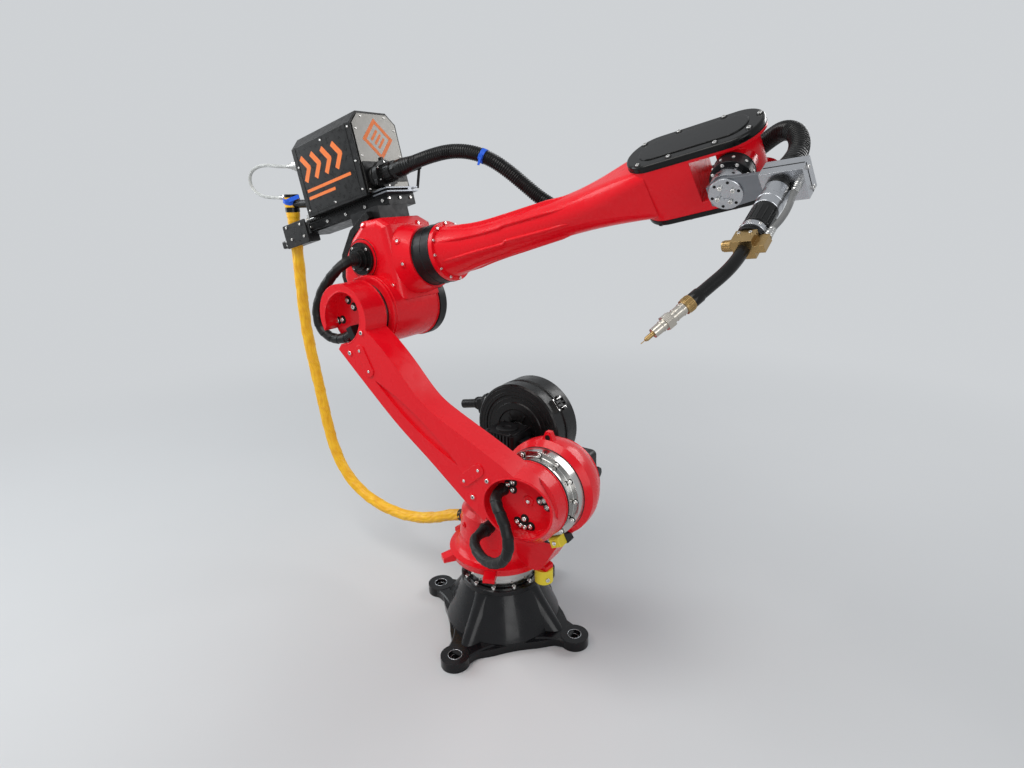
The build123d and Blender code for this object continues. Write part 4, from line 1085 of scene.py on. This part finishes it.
def add_feeder():
    face = facing(on_feeder(0, 0), feed_along, side)
    flank = on_side(front, 0, 0, 0)
    far_side = 0.184
    band = Solid("outlet_band", "feeder_paint", "elbow")
    band.box(moved(face, 0.092, 0.066), (0.168, 0.058, 0.003), -0.0005, 0.0022, 0.0006)

    # Thin film: a square frame with three bars in front, chevrons over two level bars on the flank
    film = Solid("feeder_print", "orange_ink", "elbow")
    badge = spun(moved(face, 0.094, 0.16), 45)
    for x, y, wide, high in ((0, 0.037, 0.086, 0.011), (0, -0.037, 0.086, 0.011), (0.037, 0, 0.011, 0.064),
                             (-0.037, 0, 0.011, 0.064), (0, 0.016, 0.04, 0.008), (0, 0, 0.04, 0.008),
                             (0, -0.016, 0.04, 0.008)):
        film.box(moved(badge, x, y), (wide, high, 0.002), -0.0002, 0.0003)
    for number in range(4):
        for hand, thick in ((-1, 0.0003), (1, 0.0004)):
            place = moved(flank, -0.232 + 0.05 * number, 0.138 + hand * 0.0165)
            film.box(spun(place, -hand * 52), (0.05, 0.017, 0.002), -0.0002, thick)
    for ahead, high, wide in ((-0.15, 0.074, 0.208), (-0.19, 0.052, 0.128)):
        film.box(moved(flank, ahead, high), (wide, 0.009, 0.002), -0.0002, 0.0003)

    screws = Solid("feeder_screws", "zinc", "elbow")
    for ahead, high in ((-0.014, 0.196), (-0.014, 0.1), (-0.014, 0.02), (-0.266, 0.018), (-0.266, 0.15),
                        (-0.14, 0.014), (-0.14, 0.196)):
        screws.pan(moved(flank, ahead, high), 0.0034, 0.0022)
        screws.pan(facing(on_feeder(far_side, high, ahead), side), 0.0034, 0.0022)
    for across, high in ((0.016, 0.016), (0.168, 0.016), (0.016, 0.188), (0.168, 0.188), (0.046, 0.224),
                         (0.138, 0.224), (0.016, 0.112), (0.168, 0.112)):
        screws.pan(moved(face, across, high), 0.003, 0.002)
    seams = Solid("feeder_seams", "pit_black", "elbow")
    for ahead in (-0.024, -0.262):
        seams.box(moved(flank, ahead, 0.11), (0.0016, 0.196), -0.001, 0.0008)
        seams.box(on_side(side, far_side, 0.11, ahead), (0.0016, 0.196), -0.001, 0.0008)
    seams.box(moved(flank, -0.143, 0.008), (0.262, 0.0016), -0.001, 0.0008)

    handle = Solid("feeder_handle", "torch_rubber", "elbow")
    lid = on_side(feed_up, 0.092, 0.239, -0.14)
    for shift in (-0.06, 0.06):
        handle.turned(moved(lid, shift), [(0.01, -0.001), (0.01, 0.002), (0.0065, 0.004)], 24)
    handle.box(lid, (0.138, 0.02, 0.008), 0.0035, 0.0085, 0.002)
    for shift in (-0.09, 0.09):
        handle.box(moved(on_side(feed_up, 0.15, 0.2385, -0.14), shift, -0.004), (0.036, 0.012, 0.002),
                   -0.001, 0.003, 0.0008)
    vents = Solid("feeder_vents", "feeder_paint", "elbow")
    for number in range(9):
        vents.box(on_side(side, far_side, 0.09 + 0.012 * number, -0.19), (0.07, 0.004, 0.002),
                  -0.001, 0.0016, 0.0005)

    # Rail: toothed edge, its screws and the bright end plates' bolts
    teeth = Solid("rail_teeth", "feeder_paint", "elbow")
    for number in range(30):
        teeth.box(on_side(front, 0.036, -0.0045, -0.02 - 0.0105 * number), (0.0056, 0.005, 0.001),
                  0.0, 0.003, 0.0005)
    for low in (-0.012, -0.034):
        teeth.box(on_side(front, 0.037, low, -0.17), (0.41, 0.0026), 0.0, 0.0018, 0.0004)
    bolts = Solid("rail_bolts", "zinc", "elbow")
    for ahead in (0.018, -0.06, -0.15, -0.24, -0.33):
        bolts.screw(facing(on_feeder(0.037, -0.022, ahead), front), 0.005, 0.0045)
        bolts.screw(facing(on_feeder(0.147, -0.022, ahead), side), 0.005, 0.0045)
    for across in (0.04, 0.084, 0.128):
        bolts.screw(facing(on_feeder(across, -0.02, 0.04), feed_along), 0.0042, 0.004)
    for ahead in (-0.37, -0.43):
        for high in (-0.058, -0.046):
            bolts.pan(facing(on_feeder(0.005, high, ahead), front), 0.0034, 0.0026)

    rod = Solid("outlet_rod", "torch_rubber", "elbow")
    start = on_feeder(0.168, 0.064, 0.07)
    reach = on_feeder(0.16, 0.004, 0.05) - start
    rod.turned(facing(start, reach), [(0.0042, 0.0), (0.0042, reach.length)], 20)
    rod.turned(facing(start - reach.normalized() * 0.006, reach),
               [(0.006, 0.0), (0.007, 0.003), (0.007, 0.012), (0.006, 0.014)], 20)
    rod.turned(facing(on_feeder(0.168, 0.062), feed_along),
               [(0.0065, 0.0), (0.0065, 0.066), (0.0058, 0.07)], 20)
    grips = Solid("outlet_grips", "torch_rubber", "elbow")
    centre = on_feeder(0.048, 0.048)
    for place in around(centre + feed_along * 0.05, feed_along, 0.0265, turns(20), side):
        grips.box(place, (0.0028, 0.0028), 0.0, 0.026, 0.0006)
    place = facing(centre, feed_along)
    grips.turned(place, [(0.031, 0.004), (0.0325, 0.006), (0.0325, 0.012), (0.031, 0.014)], 48)
    grips.turned(place, [(0.026, 0.084), (0.0275, 0.086), (0.0275, 0.096), (0.026, 0.098)], 6)
    for place in around(centre + feed_along * 0.03, feed_along, 0.041, turns(3, 90), side):
        grips.box(place, (0.01, 0.014, 0.002), 0.002, 0.014, 0.001)
    marks = Solid("outlet_screws", "zinc", "elbow")
    marks.screws(around(centre + feed_along * 0.046, feed_along, 0.0335, turns(6, 30), side), 0.0028, 0.002)

    cheek = Solid("clamp_cheek", "feeder_paint", "elbow")
    cheek.box(facing((-0.752, -0.044, 1.176), front, feed_along), (0.118, 0.074, 0.004), 0.0, 0.004, 0.001)
    cheek.box(on_side(front, 0.02, -0.03, -0.34), (0.09, 0.03, 0.003), 0.012, 0.016, 0.001)
    bolts = Solid("cheek_bolts", "zinc", "elbow")
    for x, z in ((-0.7725, 1.159), (-0.7085, 1.172), (-0.795, 1.195), (-0.725, 1.208)):
        bolts.screw(facing((x, -0.048, z), front), 0.0042, 0.0034)

    # Bright fittings and the blue strap behind the feeder
    fittings = Solid("rear_fittings", "bright_steel", "elbow")
    for across, length in ((0.052, 0.055), (0.07, 0.05)):
        fittings.turned(facing(on_feeder(across, 0.006, -0.3), -feed_along),
                        [(0.0075, 0.0, 6), (0.008, 0.002, 6), (0.008, 0.012, 6), (0.0055, 0.013),
                         (0.0055, length - 0.012), (0.0072, length - 0.011), (0.0072, length)], 24)
    fittings.box(on_side(front, 0.03, 0.01, -0.306), (0.034, 0.012, 0.002), 0.0, 0.004, 0.0008)
    fittings.box(on_side(front, 0.03, 0.03, -0.3), (0.01, 0.05, 0.002), 0.0, 0.004, 0.0008)
    strap = Solid("blue_strap", "blue_band", "elbow")
    centre = Vector((-0.803, -0.01, 1.28))
    strap.wheel(facing(centre, (0.3, -0.1, 0.95)),
                [(0.025, -0.008), (0.0268, -0.008), (0.0268, 0.008), (0.025, 0.008)], 48)
    loose_end = facing(centre + Vector((0.026, -0.006, 0.004)), (0.2, -1, 0.1), (1, 0, 0.3))
    strap.box(loose_end, (0.06, 0.013, 0.002), 0.012, 0.0138, 0.0004)
    nuts = Solid("hose_nuts", "bright_steel", "elbow")
    nuts.turned(facing((-0.776, -0.01, 1.386), east),
                [(0.0125, 0.002, 6), (0.013, 0.003, 6), (0.013, 0.014, 6), (0.0125, 0.016, 6)], 24)
    nuts.turned(facing((-0.838, -0.01, 1.29), east),
                [(0.0115, 0.0, 6), (0.012, 0.001, 6), (0.012, 0.012, 6), (0.0115, 0.013, 6)], 24)


# Forearm and wrist


def add_forearm():
    skin = surface("forearm_casting")
    ribs = Solid("forearm_ribs", "red_paint", "forearm", 45)
    for angle in (radians(turn) for turn in turns(8, 22.5)):
        out = side * cos(angle) + rise * sin(angle)
        across = side * -sin(angle) + rise * cos(angle)
        rows = []
        for step in range(41):
            distance = 0.252 + 0.392 * step / 40
            start = roll_c + along * distance + head_up * (0.006 if distance > 0.45 else 0.0)
            foot, _, _, _ = skin.ray_cast(start, out)
            height = 0.0062 * min(1.0, step / 6, (40 - step) / 6)
            section = ((-0.002, 0.0048), (-0.002, -0.0048), (height - 0.001, -0.003), (height, -0.0018),
                       (height, 0.0018), (height - 0.001, 0.003))
            rows.append([foot + out * high + across * wide for high, wide in section])
        ribs.skin(rows)

    saddles = Solid("conduit_saddles", "torch_rubber", "forearm")
    for distance in (0.07, 0.19):
        points, _ = spaced(lines["conduit_forearm"], 0.002, distance, distance + 0.006)
        centre = Vector(points[0])
        ahead = Vector(points[-1]) - centre
        saddles.turned(facing(centre, ahead, side),
                       [(0.0195, -0.007), (0.0215, -0.006), (0.0215, 0.006), (0.0195, 0.007)], 40)
        reach = roll_c + along * (centre - roll_c).dot(along) - centre
        saddles.box(facing(centre + reach.normalized() * 0.018, reach, ahead), (0.014, 0.02, 0.002), 0.0,
                    max(0.012, reach.length - 0.064), 0.001)

    # Both wrist covers: raised field, bolts on black discs of painted shade, and the gaskets under them
    head = roll_c + along * 0.961
    fields = Solid("cover_fields", "cover_plastic", "forearm")
    bolts = Solid("cover_bolts", "zinc", "forearm")
    bed_shade = Solid("cover_bed_shade", "pit_black", "forearm")
    for high, normal in ((0.104, head_up), (-0.042, -head_up)):
        middle = head + head_up * high
        fields.box(facing(middle, normal, along), (0.226, 0.078, 0.038, 12), -0.001, 0.0022, 0.0012)
        for ahead, across in ((-0.111, -0.0394), (-0.104, 0.0486), (-0.0371, 0.0505), (-0.0371, -0.0505),
                              (0.0567, 0.0505), (0.0567, -0.0505), (0.131, -0.0161), (0.118, 0.032)):
            place = facing(middle + along * ahead + head_side * across, normal)
            bed_shade.turned(place, [(0.0072, -0.001), (0.007, 0.0004), (0.005, 0.0005)])
            bolts.screw(place, 0.0044, 0.0034)
    gaskets = Solid("cover_gaskets", "pit_black", "forearm")
    outer = box_outline(0.2852, 0.1252, 0.0624, 24)
    inner = box_outline(0.281, 0.121, 0.0602, 24)
    for high in (0.0912, -0.0292):
        place = facing(head + head_up * high, head_up, along)
        rows = []
        for one, two in zip(outer, inner):
            section = ((two, -0.0008), (one, -0.0008), (one, 0.0008), (two, 0.0008))
            rows.append([place @ Vector((*point, height)) for point, height in section])
        gaskets.skin(rows, closed=True)


def on_tool(distance):
    """Point on the last axis, at a distance from the wrist's centre."""
    return wrist_c + tool_dir * distance


def add_wrist():
    bolts = Solid("j6_ring_bolts", "white_plate", "wrist")
    bolts.screws(around(on_tool(0.09), tool_dir, 0.0352, turns(8, 10), tool_side), 0.0034, 0.0018)
    bolts = Solid("j6_rim_bolts", "white_plate", "wrist")
    bolts.screws(rim(on_tool(0.073), tool_dir, 0.04, turns(10), tool_side), 0.003, 0.0016)
    lips = Solid("j6_ring_lips", "torch_rubber", "wrist")
    for distance in (0.0575, 0.0885):
        lips.hoop(facing(on_tool(distance), tool_dir), 0.0398, 0.0011, 72, 1.3)

    # The black discs in the flange's holes are painted shade
    hole_shade = Solid("flange_hole_shade", "pit_black", "tool")
    for place in around(on_tool(0.125), tool_dir, 0.027, turns(6, 30), tool_side):
        hole_shade.turned(place, [(0.0032, -0.001), (0.0032, 0.0004), (0.0015, 0.0005)])
    for place in rim(on_tool(0.115), tool_dir, 0.034, turns(8, 12), tool_side):
        hole_shade.turned(place, [(0.0028, -0.001), (0.0028, 0.0003), (0.0012, 0.0004)])
    disc = Solid("flange_disc", "alloy", "tool")
    disc.turned(facing(on_tool(0.133), tool_dir),
                [(0.032, -0.001), (0.032, 0.003), (0.0308, 0.004), (0.01, 0.004), (0.0094, 0.002)], 60)
    screws = Solid("bracket_screws", "zinc", "tool")
    screws.screws(around(on_tool(0.137), tool_dir, 0.017, turns(4, 20), tool_side), 0.0046, 0.0044)
    # The black discs in the disc's holes are painted shade
    hole_shade = Solid("disc_hole_shade", "pit_black", "tool")
    for place in around(on_tool(0.137), tool_dir, 0.0255, turns(6, 5), tool_side):
        hole_shade.turned(place, [(0.003, -0.001), (0.003, 0.0003), (0.0015, 0.0004)])


# Torch


def on_torch(distance, out=0.0, across=0.0):
    """Point down the torch's axis, to its side and across it."""
    return torch_top + torch_dir * distance + torch_side * out + torch_across * across


def add_torch():
    split = Solid("clamp_split", "pit_black", "tool")
    for hand in (-1, 1):
        place = facing(on_torch(0.05, 0.008, hand * 0.03), torch_across * hand, torch_side)
        split.box(place, (0.072, 0.0016), -0.001, 0.0005)
    split.box(facing(on_torch(0.05, 0.046), torch_side, torch_across), (0.058, 0.0016), -0.001, 0.0005)
    screws = Solid("clamp_screws", "zinc", "tool")
    for shift in (-0.02, 0.02):
        screws.screw(facing(on_torch(0.04, 0.0355, shift), -torch_dir), 0.004, 0.013)
        screws.screw(facing(on_torch(0.05, 0.046, shift), torch_side), 0.0042, 0.004)

    grips = Solid("torch_grips", "torch_rubber", "tool")
    for distance, thick in ((0.004, 0.0016), (0.012, 0.0016), (0.02, 0.0016), (0.078, 0.0018),
                            (0.09, 0.0014), (0.102, 0.0014), (0.114, 0.0014), (0.186, 0.0016),
                            (0.206, 0.002)):
        grips.hoop(facing(on_torch(distance), torch_dir), 0.0216, thick, 60, 1.4)
    for place in around(on_torch(0.15), torch_dir, 0.0215, turns(14), torch_side):
        grips.box(place, (0.0026, 0.0026), 0.0, 0.034, 0.0006)
    sleeves = Solid("torch_sleeves", "alloy", "tool")
    sleeves.turned(facing(on_torch(0.082), torch_dir),
                   [(0.0222, 0.0), (0.023, 0.001), (0.023, 0.028), (0.0238, 0.029), (0.0238, 0.038),
                    (0.023, 0.039), (0.023, 0.056), (0.0222, 0.057)], 60)
    sleeves.turned(facing(on_torch(0.192), torch_dir),
                   [(0.0222, 0.0), (0.0234, 0.001), (0.0234, 0.01), (0.0222, 0.011)], 60)
    sleeves.box(facing(on_torch(0.05, 0.0, -0.0295), -torch_across, torch_side), (0.04, 0.026, 0.004),
                0.0, 0.005, 0.0015)
    studs = Solid("torch_studs", "zinc", "tool")
    studs.screws(rim(on_torch(0.197), torch_dir, 0.0234, turns(8), torch_side), 0.0026, 0.0018)

    brass = Solid("brass_knurls", "brass", "tool")
    for place in around(on_torch(0.229, -0.024), -torch_side, 0.0088, turns(18), torch_dir):
        brass.box(place, (0.0015, 0.0015), 0.0, 0.014, 0.0003)
    for place in around(neck_end + nozzle_dir * 0.002, nozzle_dir, 0.0128, turns(24), head_up):
        brass.box(place, (0.0014, 0.0014), 0.0, 0.01, 0.0003)
    block = Solid("block_screws", "zinc", "tool")
    for shift in (-0.01, 0.01):
        for hand in (1, -1):
            block.screw(facing(on_torch(0.222, shift, hand * 0.018), torch_across * hand), 0.003, 0.0026)

    rings = Solid("nozzle_rings", "nozzle_nickel", "tool")
    for distance in (0.022, 0.036, 0.064):
        rings.hoop(facing(neck_end + nozzle_dir * distance, nozzle_dir), 0.0106 - 0.03 * (distance - 0.016),
                   0.0007, 48, 1.2)
    sleeve = Solid("neck_sleeve", "torch_rubber", "tool")
    sleeve.turned(facing(neck_end - nozzle_dir * 0.02, nozzle_dir),
                  [(0.0114, 0.0), (0.0124, 0.003), (0.0124, 0.018), (0.0118, 0.02)], 32)
    wire = Solid("welding_wire", "brass", "tool")
    wire.turned(facing(neck_end + nozzle_dir * 0.096, nozzle_dir),
                [(0.004, -0.001), (0.0024, 0.003), (0.0007, 0.0032), (0.0007, 0.012)], 16)


# Floor and light


def add_stage():
    floor_mesh = bpy.data.meshes.new("floor")
    reach = 14.0
    floor_mesh.from_pydata([(-reach, -reach, 0), (reach, -reach, 0), (reach, reach, 0), (-reach, reach, 0)],
                           [], [(0, 1, 2, 3)])
    floor = bpy.data.objects.new("floor", floor_mesh)
    bpy.context.scene.collection.objects.link(floor)
    floor.location.z = -0.0005
    made = Shader("floor", (0.62, 0.62, 0.61), 0.55)
    made.color(made.noise(1.4, 5), (0.6, 0.605, 0.61), (0.64, 0.645, 0.65))
    # Away from the object the floor runs into the same pale grey as the background
    distance = made.node("ShaderNodeVectorMath", operation="LENGTH")
    made.link(made.place, distance.inputs[0])
    pale = made.node("ShaderNodeEmission", Color=(0.62, 0.64, 0.66, 1), Strength=1.0)
    mixed = made.node("ShaderNodeMixShader")
    fade = made.node("ShaderNodeMapRange", interpolation_type="SMOOTHSTEP")
    fade.inputs["From Min"].default_value = 0.6
    fade.inputs["From Max"].default_value = 4.0
    made.link(distance.outputs["Value"], fade.inputs["Value"])
    made.link(fade.outputs[0], mixed.inputs[0])
    made.link(made.shader.outputs[0], mixed.inputs[1])
    made.link(pale.outputs[0], mixed.inputs[2])
    made.link(mixed.outputs[0], made.output.inputs[0])
    floor.data.materials.append(made.material)
    world = bpy.data.worlds.new("world")
    world.use_nodes = True
    bpy.context.scene.world = world
    tree = world.node_tree
    tree.nodes.clear()
    output = tree.nodes.new("ShaderNodeOutputWorld")
    light = tree.nodes.new("ShaderNodeBackground")
    light.inputs["Color"].default_value = (0.8, 0.86, 0.93, 1)
    light.inputs["Strength"].default_value = 0.38
    shown = tree.nodes.new("ShaderNodeBackground")
    shown.inputs["Color"].default_value = (0.62, 0.64, 0.66, 1)
    shown.inputs["Strength"].default_value = 1.0
    # The background shows grey and lights the object a little bluer
    pick = tree.nodes.new("ShaderNodeMixShader")
    rays = tree.nodes.new("ShaderNodeLightPath")
    either = tree.nodes.new("ShaderNodeMath")
    last = tree.nodes.new("ShaderNodeMath")
    either.operation = "MAXIMUM"
    last.operation = "MAXIMUM"
    for start, end in ((rays.outputs["Is Camera Ray"], either.inputs[0]),
                       (rays.outputs["Is Glossy Ray"], either.inputs[1]),
                       (either.outputs[0], last.inputs[0]),
                       (rays.outputs["Is Transmission Ray"], last.inputs[1]),
                       (last.outputs[0], pick.inputs[0]),
                       (light.outputs[0], pick.inputs[1]),
                       (shown.outputs[0], pick.inputs[2]),
                       (pick.outputs[0], output.inputs[0])):
        tree.links.new(start, end)


def add_light(name, place, target, size, power, color=(1, 1, 1)):
    data = bpy.data.lights.new(name, "AREA")
    data.shape = "RECTANGLE"
    data.size, data.size_y = size
    data.energy = power
    data.color = color
    lamp = bpy.data.objects.new(name, data)
    bpy.context.scene.collection.objects.link(lamp)
    lamp.location = place
    lamp.rotation_euler = (Vector(target) - Vector(place)).to_track_quat("-Z", "Y").to_euler()


finish_nodes()
add_camera()
add_cords()
add_base()
add_turret()
add_turned_skins()
add_motors()
add_drum()
add_lower_arm()
add_elbow()
add_feeder()
add_forearm()
add_wrist()
add_torch()
for solid in waiting:
    solid.build()
add_stage()
aim = (0, 0, 0.8)
add_light("key", (-0.6, -1.6, 3.4), aim, (2.2, 1.6), 60, (1.0, 0.98, 0.95))
add_light("window", (-3.4, -1.0, 2.2), aim, (1.6, 2.6), 50, (0.92, 0.97, 1.0))
add_light("fill", (2.8, -2.2, 1.4), aim, (1.6, 2.0), 26)
add_light("back", (1.2, 3.0, 2.6), aim, (2.0, 1.4), 40)

bpy.context.scene.view_settings.view_transform = "Standard"
